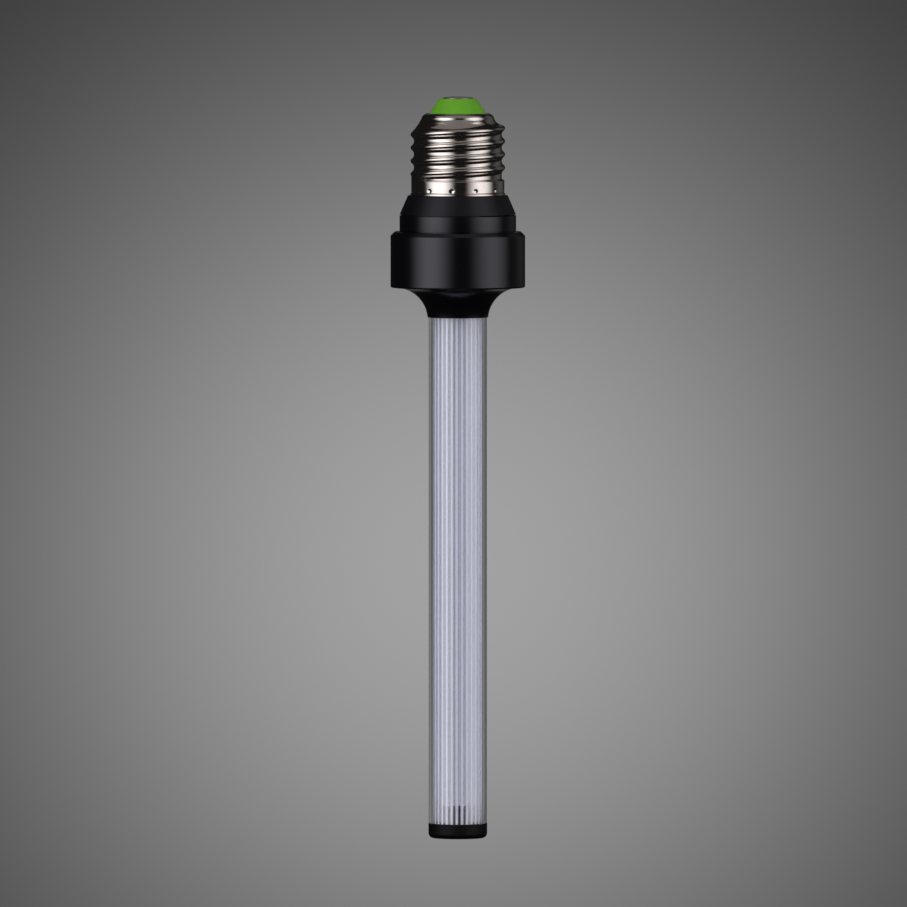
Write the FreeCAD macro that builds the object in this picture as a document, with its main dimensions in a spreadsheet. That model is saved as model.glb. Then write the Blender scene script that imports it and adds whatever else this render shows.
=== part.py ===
import FreeCAD, Part
import math
import os
import re
import Sketcher

# Decorative tube bulb with an E27 screw cap, in millimetres.
# It stands as it hangs in its holder: +Z points up to the centre contact, and the origin lies on the
# axis where the screw shell meets the collar.

# Driving sizes. Each one is a cell of the sheet and can be changed by itself.
CAP_SIZES = {
    "shell_height": 22.6,
    "shell_wall": 0.3,
    "shell_rim_hole": 7.75,
    "rim_width": 1.35,
    "shoulder_step": 1.48,
    "shoulder_drop": 1.8,
    "shoulder_foot_step": 0.78,
    "shoulder_foot_drop": 3.6,
    "thread_root_radius": 12.08,
    "thread_height": 0.94,
    "thread_crest_width": 0.56,
    "thread_round_drop": 0.3,
    "thread_round_width": 1.14,
    "thread_foot_width": 2.82,
    "thread_foot_sink": 0.25,
    "thread_core_sink": 1.9,
    "thread_pitch": 3.629,
    "thread_turns": 4,
    "thread_start": 4.86,
    "thread_end_drop": 4.7,
    "fade_turns": 0.14,
    "thread_fade": 0.9,
    "skirt_step": 0.73,
    "skirt_height": 4.1,
    "skirt_slope": 0.8,
    "lip_step": 0.15,
    "lip_height": 0.4,
    "punch_radius": 0.6,
    "punch_tip_radius": 0.25,
    "punch_depth": 0.2,
    "punch_height": 1.4,
    "punch_count": 12,
    "punch_turn": 22.5,
    "insulator_rise": 4.0,
    "insulator_top_radius": 5.3,
    "insulator_flange_reach": 0.75,
    "insulator_flange_height": 1.4,
    "insulator_boss_radius": 4.6,
    "insulator_boss_height": 3.6,
    "contact_radius": 4.3,
    "contact_flat_radius": 2.4,
    "contact_height": 0.6,
    "contact_edge": 0.2,
    "rivet_radius": 1.6,
    "rivet_length": 9.0,
    "rivet_bore": 0.8,
    "rivet_bore_depth": 5.0,
    "slip": 0.05,
}
COLLAR_SIZES = {
    "collar_seat": 0.74,
    "collar_inset": 0.03,
    "collar_height": 5.3,
    "groove_depth": 0.53,
    "groove_height": 0.3,
    "spigot_clearance": 0.08,
    "spigot_drop": 5.6,
    "spigot_wall": 1.5,
    "board_stop_drop": 9.6,
    "board_stop_reach": 1.3,
    "board_stop_thickness": 1.2,
    "plug_clearance": 0.1,
    "plug_wall": 1.5,
    "plug_depth": 11.4,
    "plug_taper_top": 1.0,
    "plug_taper_height": 2.5,
    "slot_rib_thickness": 1.2,
    "slot_rib_root": 0.5,
    "slot_clearance": 0.1,
    "lead_notch_width": 1.5,
    "lead_notch_depth": 2.3,
}
HOUSING_SIZES = {
    "cylinder_radius": 16.03,
    "cylinder_height": 4.07,
    "ring_radius": 18.52,
    "ring_height": 15.76,
    "ring_top_round": 1.2,
    "ring_bottom_round": 1.0,
    "neck_sweep": 9.0,
    "neck_wall": 0.25,
    "neck_height": 8.21,
    "housing_wall": 1.63,
    "bore_depth": 15.9,
    "window_depth": 1.5,
    "screw_inset": 3.9,
    "screw_count": 3,
    "screw_radius": 1.25,
    "screw_grip": 3.4,
    "screw_head_radius": 2.2,
    "screw_head_height": 1.5,
    "screw_slot_width": 0.6,
    "screw_slot_depth": 0.7,
    "screw_end_space": 0.4,
}
TUBE_SIZES = {
    "tube_radius": 8.0,
    "tube_wall": 1.0,
    "tube_glue_gap": 0.05,
    "tube_length_shown": 139.36,
    "guide_clearance": 0.35,
    "flute_count": 30,
    "flute_depth": 0.42,
    "flute_radius": 0.62,
    "emitter_gap": 0.3,
    "cap_overhang": 0.08,
    "cap_height": 4.1,
    "cap_round": 1.4,
    "boss_radius": 3.7,
    "boss_height": 5.0,
    "boss_crown": 1.2,
    "boss_crown_half": 0.324,
    "boss_clearance": 0.1,
}
ELECTRIC_SIZES = {
    "led_board_clearance": 1.0,
    "led_board_thickness": 1.6,
    "led_lead_spacing": 11.8,
    "led_lead_hole": 0.8,
    "emitter_clearance": 2.5,
    "emitter_base": 0.6,
    "emitter_rim": 0.6,
    "emitter_dome_height": 0.3,
    "driver_edge_clearance": 0.5,
    "driver_thickness": 1.2,
    "driver_space": 5.9,
    "stand_off": 0.3,
    "wire_radius": 0.5,
    "wire_bend": 2.5,
    "shell_lead_bend": 2.0,
    "contact_lead_join": 3.5,
    "led_lead_join": 2.75,
    "leg_radius": 0.3,
    "leg_drop": 1.6,
    "can_radius": 4.0,
    "can_height": 12.0,
    "can_drop": 1.0,
    "can_crimp_height": 1.6,
    "can_crimp_depth": 0.35,
    "can_crimp_width": 0.7,
    "can_leg_spacing": 3.5,
    "film_width": 9.0,
    "film_height": 7.0,
    "film_thickness": 4.5,
    "film_drop": 17.0,
    "film_leg_spacing": 5.0,
    "resistor_radius": 1.4,
    "resistor_length": 6.4,
    "resistor_inset": 2.8,
    "resistor_out": 2.0,
    "resistor_drop": 5.6,
    "core_width": 10.2,
    "core_height": 9.0,
    "core_thickness": 4.8,
    "core_leg": 2.6,
    "core_yoke": 1.7,
    "core_drop": 16.5,
    "bobbin_wall": 0.4,
    "bobbin_flange": 0.5,
    "bobbin_reach": 3.5,
    "bobbin_depth": 4.0,
    "winding_build": 1.5,
    "winding_build_out": 1.05,
    "winding_round": 0.8,
    "chip_width": 3.9,
    "chip_length": 4.9,
    "chip_height": 1.5,
    "chip_across": 2.6,
    "chip_drop": 8.6,
    "chip_leg_width": 0.4,
    "chip_leg_pitch": 1.27,
    "chip_leg_reach": 0.9,
    "bridge_width": 4.7,
    "bridge_length": 3.9,
    "bridge_height": 2.3,
    "bridge_across": 4.9,
    "bridge_drop": 8.0,
    "bridge_leg_pitch": 2.5,
    "lead_drop": 4.0,
    "shell_lead_across": 6.0,
    "led_lead_foot": 0.4,
    "led_lead_rise": 5.0,
}
GROUPS = (CAP_SIZES, COLLAR_SIZES, HOUSING_SIZES, TUBE_SIZES, ELECTRIC_SIZES)

# Places worked out from the sizes, as expressions.
RIM_UNDER = "(shell_height - shell_wall)"
RIM_RADIUS = "(shell_rim_hole + rim_width)"
CREST_RADIUS = "(thread_root_radius + thread_height)"
SKIRT_RADIUS = "(thread_root_radius + skirt_step)"
LIP_RADIUS = f"({SKIRT_RADIUS} + lip_step)"
SHOULDER_RADIUS = "(thread_root_radius - shoulder_step)"
SHOULDER_FOOT_RADIUS = "(thread_root_radius - shoulder_foot_step)"
SHOULDER_FOOT = "(shell_height - shoulder_foot_drop)"
THREAD_END = "(shell_height - thread_end_drop)"
INSULATOR_TOP = "(shell_height + insulator_rise)"
CONTACT_TOP = "(shell_height + insulator_rise + contact_height)"
SPIGOT_RADIUS = "(thread_root_radius - shell_wall - spigot_clearance)"
SPIGOT_TOP = "(shell_height - spigot_drop)"
SPIGOT_BORE = f"({SPIGOT_RADIUS} - spigot_wall)"
BOARD_STOP = "(shell_height - board_stop_drop)"
BOARD_STOP_RADIUS = f"({SPIGOT_BORE} - board_stop_reach)"
COLLAR_TOP_RADIUS = f"({LIP_RADIUS} + collar_seat)"
COLLAR_FOOT = "(0 - collar_height)"
GROOVE_RADIUS = "(cylinder_radius - groove_depth)"
HOUSING_BORE = "(cylinder_radius - housing_wall)"
SCREW_CIRCLE = f"({HOUSING_BORE} - screw_inset)"
HOUSING_TOP = "(0 - collar_height - groove_height)"
RING_TOP = f"({HOUSING_TOP} - cylinder_height)"
RING_FOOT = f"({RING_TOP} - ring_height)"
NECK_FOOT = f"({RING_FOOT} - neck_height)"
LEDGE = f"({HOUSING_TOP} - bore_depth)"
TUBE_BORE = "(tube_radius - tube_wall)"
TUBE_SEAT = "(tube_radius + tube_glue_gap)"
TUBE_TOP = f"({LEDGE} - window_depth)"
TUBE_FOOT = f"({NECK_FOOT} - tube_length_shown)"
LED_BOARD_TOP = f"({LEDGE} + led_board_thickness)"
GUIDE_TOP = f"({LEDGE} - emitter_base - emitter_dome_height - emitter_gap)"
GUIDE_RADIUS = f"({TUBE_BORE} - guide_clearance)"
CAP_RADIUS = "(tube_radius + cap_overhang)"
LED_BOARD_RADIUS = f"({HOUSING_BORE} - led_board_clearance)"
EMITTER_HALF = f"({TUBE_BORE} - emitter_clearance)"
DRIVER_HALF = f"({SPIGOT_BORE} - driver_edge_clearance)"
DRIVER_TOP = BOARD_STOP
DRIVER_FOOT = f"({LED_BOARD_TOP} + driver_space)"
DRIVER_FACE = "(driver_thickness / 2)"
WIRE_OFF = "(driver_thickness / 2 + wire_radius)"

doc = FreeCAD.newDocument("TubeBulb")
sheet = doc.addObject("Spreadsheet::Sheet", "Sizes")
WORDS = set()


def fill_sheet():
    """Write every driving size into its own cell, with its name as the alias."""
    row = 1
    for group in GROUPS:
        for name, number in group.items():
            sheet.set(f"A{row}", name)
            sheet.set(f"B{row}", str(number))
            sheet.setAlias(f"B{row}", name)
            WORDS.add(name)
            row += 1
    doc.recompute()


def bound(text):
    """The expression with the sheet's name put before each size."""

    def with_sheet(match):
        word = match.group(0)
        return f"Sizes.{word}" if word in WORDS else word

    return re.sub(r"[a-z_]+", with_sheet, text)


def number(text):
    """The present value of an expression."""
    return float(sheet.evalExpression(bound(text)))


def origin_feature(body, role):
    """A body's own origin plane or axis, found by its role."""
    for feature in body.Origin.OriginFeatures:
        if feature.Role == role:
            return feature


def new_body(label):
    """An empty body for one moulded, turned, drawn or extruded piece."""
    body = doc.addObject("PartDesign::Body", label)
    body.Label = label
    return body


def new_sketch(body, name, role, offset=None):
    """A sketch on one of the body's own origin planes, moved along its normal by an expression."""
    sketch = body.newObject("Sketcher::SketchObject", f"{body.Name}_{name}")
    sketch.AttachmentSupport = (origin_feature(body, role), [""])
    sketch.MapMode = "FlatFace"
    if offset:
        sketch.setExpression("AttachmentOffset.Base.z", bound(offset))
    return sketch


def corner(across, up, rounding=None, centre=None):
    """One corner of an outline. The edge after it is an arc when a centre is given."""
    return {"across": across, "up": up, "rounding": rounding, "centre": centre}


def set_distance(sketch, kind, element, point, text):
    """Hold one coordinate of a sketch point by an expression."""
    index = sketch.addConstraint(Sketcher.Constraint(kind, -1, 1, element, point, number(text)))
    sketch.setExpression(f"Constraints[{index}]", bound(text))


def round_corner(before, spot, after, radius):
    """Where the rounding leaves its two edges, and its middle."""
    back = (before - spot).normalize()
    ahead = (after - spot).normalize()
    half = back.getAngle(ahead) / 2
    reach = radius / math.tan(half)
    middle = spot + (back + ahead).normalize() * (radius / math.sin(half))
    nearest = middle + (spot - middle).normalize() * radius
    return spot + back * reach, nearest, spot + ahead * reach


def arc_end(spot, centre, after_up):
    """The end of an arc that starts at a corner, at a given height, on the nearer side of its centre."""
    radius = (spot - centre).Length
    rise = after_up - centre.y
    return FreeCAD.Vector(centre.x - math.sqrt(radius * radius - rise * rise), after_up, 0)


def draw(sketch, corners, closed=True):
    """Draw an outline through its corners and hold every corner by the sheet."""
    spots = []
    for place, item in enumerate(corners):
        if item["across"] is None:
            last = corners[place - 1]
            centre = FreeCAD.Vector(number(last["centre"][0]), number(last["centre"][1]), 0)
            spots.append(arc_end(spots[-1], centre, number(item["up"])))
        else:
            spots.append(FreeCAD.Vector(number(item["across"]), number(item["up"]), 0))
    count = len(corners)
    starts = list(spots)
    ends = list(spots)
    bends = {}
    for place, item in enumerate(corners):
        if item["rounding"]:
            radius = number(item["rounding"])
            before = spots[place - 1]
            after = spots[(place + 1) % count]
            ends[place], middle, starts[place] = round_corner(before, spots[place], after, radius)
            bends[place] = sketch.addGeometry(Part.Arc(ends[place], middle, starts[place]))
    edges = {}
    for place in range(count if closed else count - 1):
        following = (place + 1) % count
        item = corners[place]
        if item["centre"]:
            centre = FreeCAD.Vector(number(item["centre"][0]), number(item["centre"][1]), 0)
            radius = (starts[place] - centre).Length
            halfway = (starts[place] + ends[following]) * 0.5
            middle = centre + (halfway - centre).normalize() * radius
            shape = Part.Arc(starts[place], middle, ends[following])
        else:
            shape = Part.LineSegment(starts[place], ends[following])
        edges[place] = sketch.addGeometry(shape)
    for place, item in enumerate(corners):
        hold_corner(sketch, item, place, count, edges, bends, starts, ends)
    doc.recompute()


def nearer_end(sketch, element, spot):
    """Which end of an element lies at a spot."""
    if (sketch.getPoint(element, 1) - spot).Length < (sketch.getPoint(element, 2) - spot).Length:
        return 1
    return 2


def hold_corner(sketch, item, place, count, edges, bends, starts, ends):
    """Join the edges at one corner and hold the corner itself."""
    arriving = edges.get((place - 1) % count)
    leaving = edges.get(place)
    if item["rounding"]:
        bend = bends[place]
        radius = sketch.addConstraint(Sketcher.Constraint("Radius", bend, number(item["rounding"])))
        sketch.setExpression(f"Constraints[{radius}]", bound(item["rounding"]))
        for edge, spot in ((arriving, ends[place]), (leaving, starts[place])):
            here = nearer_end(sketch, edge, spot)
            there = nearer_end(sketch, bend, spot)
            sketch.addConstraint(Sketcher.Constraint("Tangent", edge, here, bend, there))
        spot = FreeCAD.Vector(number(item["across"]), number(item["up"]), 0)
        mark = sketch.addGeometry(Part.Point(spot), True)
        sketch.addConstraint(Sketcher.Constraint("PointOnObject", mark, 1, arriving))
        sketch.addConstraint(Sketcher.Constraint("PointOnObject", mark, 1, leaving))
        set_distance(sketch, "DistanceX", mark, 1, item["across"])
        set_distance(sketch, "DistanceY", mark, 1, item["up"])
        return
    holder = leaving if leaving is not None else arriving
    point = nearer_end(sketch, holder, starts[place])
    if arriving is not None and leaving is not None:
        other = nearer_end(sketch, arriving, ends[place])
        sketch.addConstraint(Sketcher.Constraint("Coincident", arriving, other, leaving, point))
    if item["across"] is not None:
        set_distance(sketch, "DistanceX", holder, point, item["across"])
    set_distance(sketch, "DistanceY", holder, point, item["up"])
    if item["centre"]:
        set_distance(sketch, "DistanceX", leaving, 3, item["centre"][0])
        set_distance(sketch, "DistanceY", leaving, 3, item["centre"][1])


def turned(body, name, corners, kind="PartDesign::Revolution", role="XZ_Plane"):
    """Add or cut a full turn of an outline about the body's upright axis."""
    sketch = new_sketch(body, name, role)
    draw(sketch, corners)
    feature = body.newObject(kind, f"{body.Name}_{name}_turn")
    feature.Profile = sketch
    feature.ReferenceAxis = (sketch, ["V_Axis"])
    feature.Angle = 360
    doc.recompute()
    return feature


def circle_sketch(body, name, across, out, radius, height):
    """A flat sketch at a height, with one circle."""
    sketch = new_sketch(body, name, "XY_Plane", height)
    middle = FreeCAD.Vector(number(across), number(out), 0)
    circle = sketch.addGeometry(Part.Circle(middle, FreeCAD.Vector(0, 0, 1), number(radius)))
    held = sketch.addConstraint(Sketcher.Constraint("Radius", circle, number(radius)))
    sketch.setExpression(f"Constraints[{held}]", bound(radius))
    set_distance(sketch, "DistanceX", circle, 3, across)
    set_distance(sketch, "DistanceY", circle, 3, out)
    doc.recompute()
    return sketch


def sink(body, name, sketch, depth):
    """Cut a flat sketch downwards to a depth, and make sure that it cut something."""
    before = body.Shape.Volume
    pocket = body.newObject("PartDesign::Pocket", f"{body.Name}_{name}_cut")
    pocket.Profile = sketch
    pocket.setExpression("Length", bound(depth))
    doc.recompute()
    if body.Shape.Volume > before - 1e-6:
        raise RuntimeError(f"{name} cuts nothing")
    return pocket


def raise_pad(body, name, sketch, height):
    """Pad a flat sketch upwards."""
    pad = body.newObject("PartDesign::Pad", f"{body.Name}_{name}_pad")
    pad.Profile = sketch
    pad.setExpression("Length", bound(height))
    doc.recompute()
    return pad


def rectangle(left, low, right, high):
    """The four corners of a rectangle."""
    return [corner(left, low), corner(right, low), corner(right, high), corner(left, high)]


def around(body, name, feature, copies, angle=360):
    """Repeat a feature evenly about the upright axis."""
    pattern = body.newObject("PartDesign::PolarPattern", f"{body.Name}_{name}_around")
    pattern.Originals = [feature]
    pattern.Axis = (origin_feature(body, "Z_Axis"), [""])
    pattern.Angle = angle
    pattern.setExpression("Occurrences", bound(copies))
    body.Tip = pattern
    doc.recompute()
    return pattern


def place(item, across, out, up):
    """Hold the place of a plain solid by the sheet."""
    item.setExpression(".Placement.Base.x", bound(across))
    item.setExpression(".Placement.Base.y", bound(out))
    item.setExpression(".Placement.Base.z", bound(up))


def box(name, left, front, low, width, depth, height):
    """An upright block from its lowest left front corner."""
    item = doc.addObject("Part::Box", name)
    item.setExpression("Length", bound(width))
    item.setExpression("Width", bound(depth))
    item.setExpression("Height", bound(height))
    place(item, left, front, low)
    return item


def rod(name, across, out, up, radius, length, along=(0, 0, 1)):
    """A round rod from the middle of its first end."""
    item = doc.addObject("Part::Cylinder", name)
    item.setExpression("Radius", bound(radius))
    item.setExpression("Height", bound(length))
    item.Placement.Rotation = FreeCAD.Rotation(FreeCAD.Vector(0, 0, 1), FreeCAD.Vector(*along))
    place(item, across, out, up)
    return item


def joined(label, items):
    """One solid out of several that meet."""
    fuse = doc.addObject("Part::MultiFuse", label)
    fuse.Shapes = items
    fuse.Label = label
    return fuse


def cut(label, whole, tool):
    """One solid less another."""
    item = doc.addObject("Part::Cut", label)
    item.Base = whole
    item.Tool = tool
    item.Label = label
    return item


def thread_section():
    """The rolled thread's raised section about a level line."""
    rising = [
        corner("thread_root_radius - thread_core_sink", "thread_foot_width / 2"),
        corner("thread_root_radius - thread_foot_sink", "thread_foot_width / 2"),
        corner(f"{CREST_RADIUS} - thread_round_drop", "thread_round_width / 2"),
        corner(CREST_RADIUS, "thread_crest_width / 2"),
    ]
    falling = []
    for item in reversed(rising):
        falling.append(corner(item["across"], f"0 - ({item['up']})"))
    return rising + falling


def coil_thread(body, name, height, turns):
    """Sweep the thread's section round the shell from a height at the back, in a right-hand helix."""
    sketch = new_sketch(body, name, "YZ_Plane")
    sketch.setExpression("AttachmentOffset.Base.y", bound(height))
    draw(sketch, thread_section())
    coil = body.newObject("PartDesign::AdditiveHelix", f"{body.Name}_{name}_helix")
    coil.Profile = sketch
    coil.ReferenceAxis = (origin_feature(body, "Z_Axis"), [""])
    coil.Mode = 1
    coil.setExpression("Pitch", bound("thread_pitch"))
    coil.setExpression("Turns", bound(turns))
    return coil


def lay_thread(body):
    """Lay the thread round the shell and let its upper end run down into the shoulder."""
    coil_thread(body, "thread", "thread_start", "thread_turns")
    doc.recompute()
    finish = coil_thread(body, "finish", "thread_start + thread_pitch * thread_turns", "fade_turns")
    fall = "(0 - thread_height - thread_fade)"
    finish.setExpression("Angle", bound(f"atan({fall} / (thread_pitch * fade_turns))"))
    doc.recompute()


def make_screw_shell():
    """The rolled sheet cap: skirt, right-hand thread, shoulder and a rim turned in over the insulator."""
    body = new_body("screw_shell")
    turned(body, "outside", [
        corner("0", "0"),
        corner(LIP_RADIUS, "0"),
        corner(LIP_RADIUS, "lip_height"),
        corner(SKIRT_RADIUS, "lip_height + lip_step"),
        corner(SKIRT_RADIUS, "skirt_height"),
        corner("thread_root_radius", "skirt_height + skirt_slope"),
        corner("thread_root_radius", THREAD_END),
        corner(SHOULDER_FOOT_RADIUS, SHOULDER_FOOT),
        corner(SHOULDER_RADIUS, "shell_height - shoulder_drop"),
        corner(RIM_RADIUS, "shell_height"),
        corner("0", "shell_height"),
    ])
    lay_thread(body)
    turned(body, "inside", [
        corner("0", "0"),
        corner(f"{SKIRT_RADIUS} - shell_wall", "0"),
        corner(f"{SKIRT_RADIUS} - shell_wall", "skirt_height - shell_wall"),
        corner("thread_root_radius - shell_wall", "skirt_height + skirt_slope - shell_wall"),
        corner("thread_root_radius - shell_wall", f"{THREAD_END} - shell_wall"),
        corner(f"{SHOULDER_FOOT_RADIUS} - shell_wall", f"{SHOULDER_FOOT} - shell_wall"),
        corner(f"{SHOULDER_RADIUS} - shell_wall", "shell_height - shoulder_drop - shell_wall"),
        corner(f"{RIM_RADIUS} - shell_wall", RIM_UNDER),
        corner("0", RIM_UNDER),
    ], "PartDesign::Groove")
    rim = circle_sketch(body, "rim", "0", "0", "shell_rim_hole", "shell_height")
    sink(body, "rim", rim, "shell_wall * 2")
    return body


def punch_skirt(body):
    """The row of round punch marks that hold the shell on the collar."""
    sketch = new_sketch(body, "punch", "YZ_Plane")
    upright = FreeCAD.Vector(0, 1, 0)
    sketch.AttachmentOffset = FreeCAD.Placement(FreeCAD.Vector(), FreeCAD.Rotation(upright, 1))
    sketch.setExpression("AttachmentOffset.Base.y", bound("punch_height"))
    sketch.setExpression("AttachmentOffset.Rotation.Angle", bound("punch_turn"))
    draw(sketch, [
        corner(f"{SKIRT_RADIUS} - punch_depth", "0"),
        corner(f"{SKIRT_RADIUS} + punch_depth", "0"),
        corner(f"{SKIRT_RADIUS} + punch_depth", "punch_radius * 2 - punch_tip_radius"),
        corner(f"{SKIRT_RADIUS} - punch_depth", "punch_tip_radius"),
    ])
    before = body.Shape.Volume
    mark = body.newObject("PartDesign::Groove", f"{body.Name}_punch_mark")
    mark.Profile = sketch
    mark.ReferenceAxis = (sketch, ["H_Axis"])
    mark.Angle = 360
    doc.recompute()
    if body.Shape.Volume > before - 1e-6:
        raise RuntimeError("the punch mark cuts nothing")
    around(body, "punch", mark, "punch_count")


def make_cap_insulator():
    """The moulded green cone, held by its flange under the shell's rim."""
    body = new_body("cap_insulator")
    flange_radius = "shell_rim_hole + insulator_flange_reach"
    turned(body, "section", [
        corner("rivet_radius + slip", INSULATOR_TOP),
        corner("insulator_top_radius - contact_edge", INSULATOR_TOP),
        corner("insulator_top_radius", f"{INSULATOR_TOP} - contact_edge"),
        corner("shell_rim_hole", "shell_height"),
        corner("shell_rim_hole - slip", "shell_height"),
        corner("shell_rim_hole - slip", RIM_UNDER),
        corner(flange_radius, RIM_UNDER),
        corner(flange_radius, f"{RIM_UNDER} - insulator_flange_height"),
        corner("insulator_boss_radius", f"{RIM_UNDER} - insulator_flange_height"),
        corner("insulator_boss_radius", f"{RIM_UNDER} - insulator_boss_height"),
        corner("rivet_radius + slip", f"{RIM_UNDER} - insulator_boss_height"),
    ])
    return body


def make_centre_contact():
    """The domed rivet on top, hollow at its lower end for the contact lead."""
    body = new_body("centre_contact")
    foot = f"{INSULATOR_TOP} - rivet_length"
    turned(body, "section", [
        corner("0", CONTACT_TOP),
        corner("contact_flat_radius", CONTACT_TOP),
        corner("contact_radius", f"{INSULATOR_TOP} + contact_edge"),
        corner("contact_radius", INSULATOR_TOP),
        corner("rivet_radius", INSULATOR_TOP),
        corner("rivet_radius", foot),
        corner("rivet_bore", foot),
        corner("rivet_bore", f"{foot} + rivet_bore_depth"),
        corner("0", f"{foot} + rivet_bore_depth"),
    ])
    return body


def make_base_collar():
    """The moulded collar: cone outside, spigot up into the shell, plug down into the housing."""
    body = new_body("base_collar")
    lower = f"{SKIRT_RADIUS} - shell_wall - spigot_clearance"
    plug = f"{HOUSING_BORE} - plug_clearance"
    plug_foot = f"{HOUSING_TOP} - plug_depth"
    turned(body, "section", [
        corner(SPIGOT_BORE, SPIGOT_TOP),
        corner(SPIGOT_RADIUS, SPIGOT_TOP),
        corner(SPIGOT_RADIUS, "skirt_height"),
        corner(lower, "skirt_height - skirt_slope"),
        corner(lower, "0"),
        corner(COLLAR_TOP_RADIUS, "0"),
        corner("cylinder_radius - collar_inset", COLLAR_FOOT),
        corner(GROOVE_RADIUS, COLLAR_FOOT),
        corner(GROOVE_RADIUS, HOUSING_TOP),
        corner(plug, HOUSING_TOP),
        corner(plug, plug_foot),
        corner(f"{plug} - plug_wall", plug_foot),
        corner(f"{plug} - plug_wall", "0 - plug_taper_top - plug_taper_height"),
        corner(SPIGOT_BORE, "0 - plug_taper_top"),
        corner(SPIGOT_BORE, BOARD_STOP),
        corner(BOARD_STOP_RADIUS, BOARD_STOP),
        corner(BOARD_STOP_RADIUS, f"{BOARD_STOP} + board_stop_thickness"),
        corner(SPIGOT_BORE, f"{BOARD_STOP} + board_stop_thickness"),
    ])
    near = f"({DRIVER_FACE} + slot_clearance)"
    far = f"({DRIVER_FACE} + slot_clearance + slot_rib_thickness)"
    root = f"({SPIGOT_BORE} + slot_rib_root)"
    ribs = new_sketch(body, "ribs", "XY_Plane", "0 - plug_taper_top")
    draw(ribs, rectangle(BOARD_STOP_RADIUS, near, root, far))
    draw(ribs, rectangle(BOARD_STOP_RADIUS, f"0 - {far}", root, f"0 - {near}"))
    draw(ribs, rectangle(f"0 - {root}", near, f"0 - {BOARD_STOP_RADIUS}", far))
    draw(ribs, rectangle(f"0 - {root}", f"0 - {far}", f"0 - {BOARD_STOP_RADIUS}", f"0 - {near}"))
    raise_pad(body, "ribs", ribs, f"{BOARD_STOP} + plug_taper_top")
    notch = new_sketch(body, "notch", "XY_Plane", SPIGOT_TOP)
    low = f"({WIRE_OFF} - lead_notch_width / 2)"
    high = f"({WIRE_OFF} + lead_notch_width / 2)"
    draw(notch, rectangle("0 - thread_root_radius", low, f"0 - {BOARD_STOP_RADIUS}", high))
    sink(body, "notch", notch, "lead_notch_depth")
    return body


def make_housing():
    """The turned aluminium body: cylinder, wide ring, concave neck, and the ledge for the light source."""
    body = new_body("housing")
    neck_centre = f"{TUBE_SEAT} + neck_wall + neck_sweep"
    turned(body, "section", [
        corner(HOUSING_BORE, HOUSING_TOP),
        corner("cylinder_radius", HOUSING_TOP),
        corner("cylinder_radius", RING_TOP),
        corner("ring_radius", RING_TOP, "ring_top_round"),
        corner("ring_radius", RING_FOOT, "ring_bottom_round"),
        corner(neck_centre, RING_FOOT, centre=(neck_centre, f"{RING_FOOT} - neck_sweep")),
        corner(None, NECK_FOOT),
        corner(TUBE_SEAT, NECK_FOOT),
        corner(TUBE_SEAT, TUBE_TOP),
        corner(TUBE_BORE, TUBE_TOP),
        corner(TUBE_BORE, LEDGE),
        corner(HOUSING_BORE, LEDGE),
    ])
    hole = circle_sketch(body, "screw", "0", SCREW_CIRCLE, "screw_radius", LEDGE)
    tapped = sink(body, "screw", hole, "screw_grip + screw_end_space")
    around(body, "screw", tapped, "screw_count")
    return body


def make_outer_tube():
    """The clear tube, glued into the neck and on to the end cap."""
    body = new_body("outer_tube")
    turned(body, "section",
           rectangle(TUBE_BORE, TUBE_FOOT, "tube_radius", TUBE_TOP))
    return body


def make_light_guide():
    """The clear rod with flutes all round, hollowed at its foot for the end cap's boss."""
    body = new_body("light_guide")
    bore = "boss_radius + boss_clearance"
    shoulder = f"{TUBE_FOOT} + boss_height - boss_crown + boss_clearance"
    crown = f"{TUBE_FOOT} + boss_height + boss_clearance"
    turned(body, "rod", [
        corner("0", crown),
        corner(f"({bore}) / 2", f"{crown} - boss_crown_half"),
        corner(bore, shoulder),
        corner(bore, TUBE_FOOT),
        corner(GUIDE_RADIUS, TUBE_FOOT),
        corner(GUIDE_RADIUS, GUIDE_TOP),
        corner("0", GUIDE_TOP),
    ])
    out = f"{GUIDE_RADIUS} - flute_depth + flute_radius"
    flute = circle_sketch(body, "flute", "0", f"0 - ({out})", "flute_radius", GUIDE_TOP)
    groove = sink(body, "flute", flute, f"{GUIDE_TOP} - {TUBE_FOOT}")
    around(body, "flute", groove, "flute_count")
    return body


def make_end_cap():
    """The black cap under the tube, with the round boss that centres the guide."""
    body = new_body("end_cap")
    foot = f"{TUBE_FOOT} - cap_height"
    turned(body, "section", [
        corner("0", f"{TUBE_FOOT} + boss_height"),
        corner("boss_radius / 2", f"{TUBE_FOOT} + boss_height - boss_crown_half"),
        corner("boss_radius", f"{TUBE_FOOT} + boss_height - boss_crown"),
        corner("boss_radius", TUBE_FOOT),
        corner(CAP_RADIUS, TUBE_FOOT),
        corner(CAP_RADIUS, foot, "cap_round"),
        corner("0", foot),
    ])
    return body


def make_led_board():
    """The aluminium-cored disc that carries the light source on its lower side."""
    body = new_body("led_board")
    disc = circle_sketch(body, "disc", "0", "0", LED_BOARD_RADIUS, LEDGE)
    raise_pad(body, "disc", disc, "led_board_thickness")
    hole = circle_sketch(body, "screw", "0", SCREW_CIRCLE, "screw_radius + slip", LED_BOARD_TOP)
    drilled = sink(body, "screw", hole, "led_board_thickness")
    around(body, "screw", drilled, "screw_count")
    for side, name in (("1", "right"), ("-1", "left")):
        middle = f"({side}) * led_lead_spacing / 2"
        wire = circle_sketch(body, name, middle, "0", "led_lead_hole", LED_BOARD_TOP)
        sink(body, name, wire, "led_board_thickness")
    return body


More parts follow.
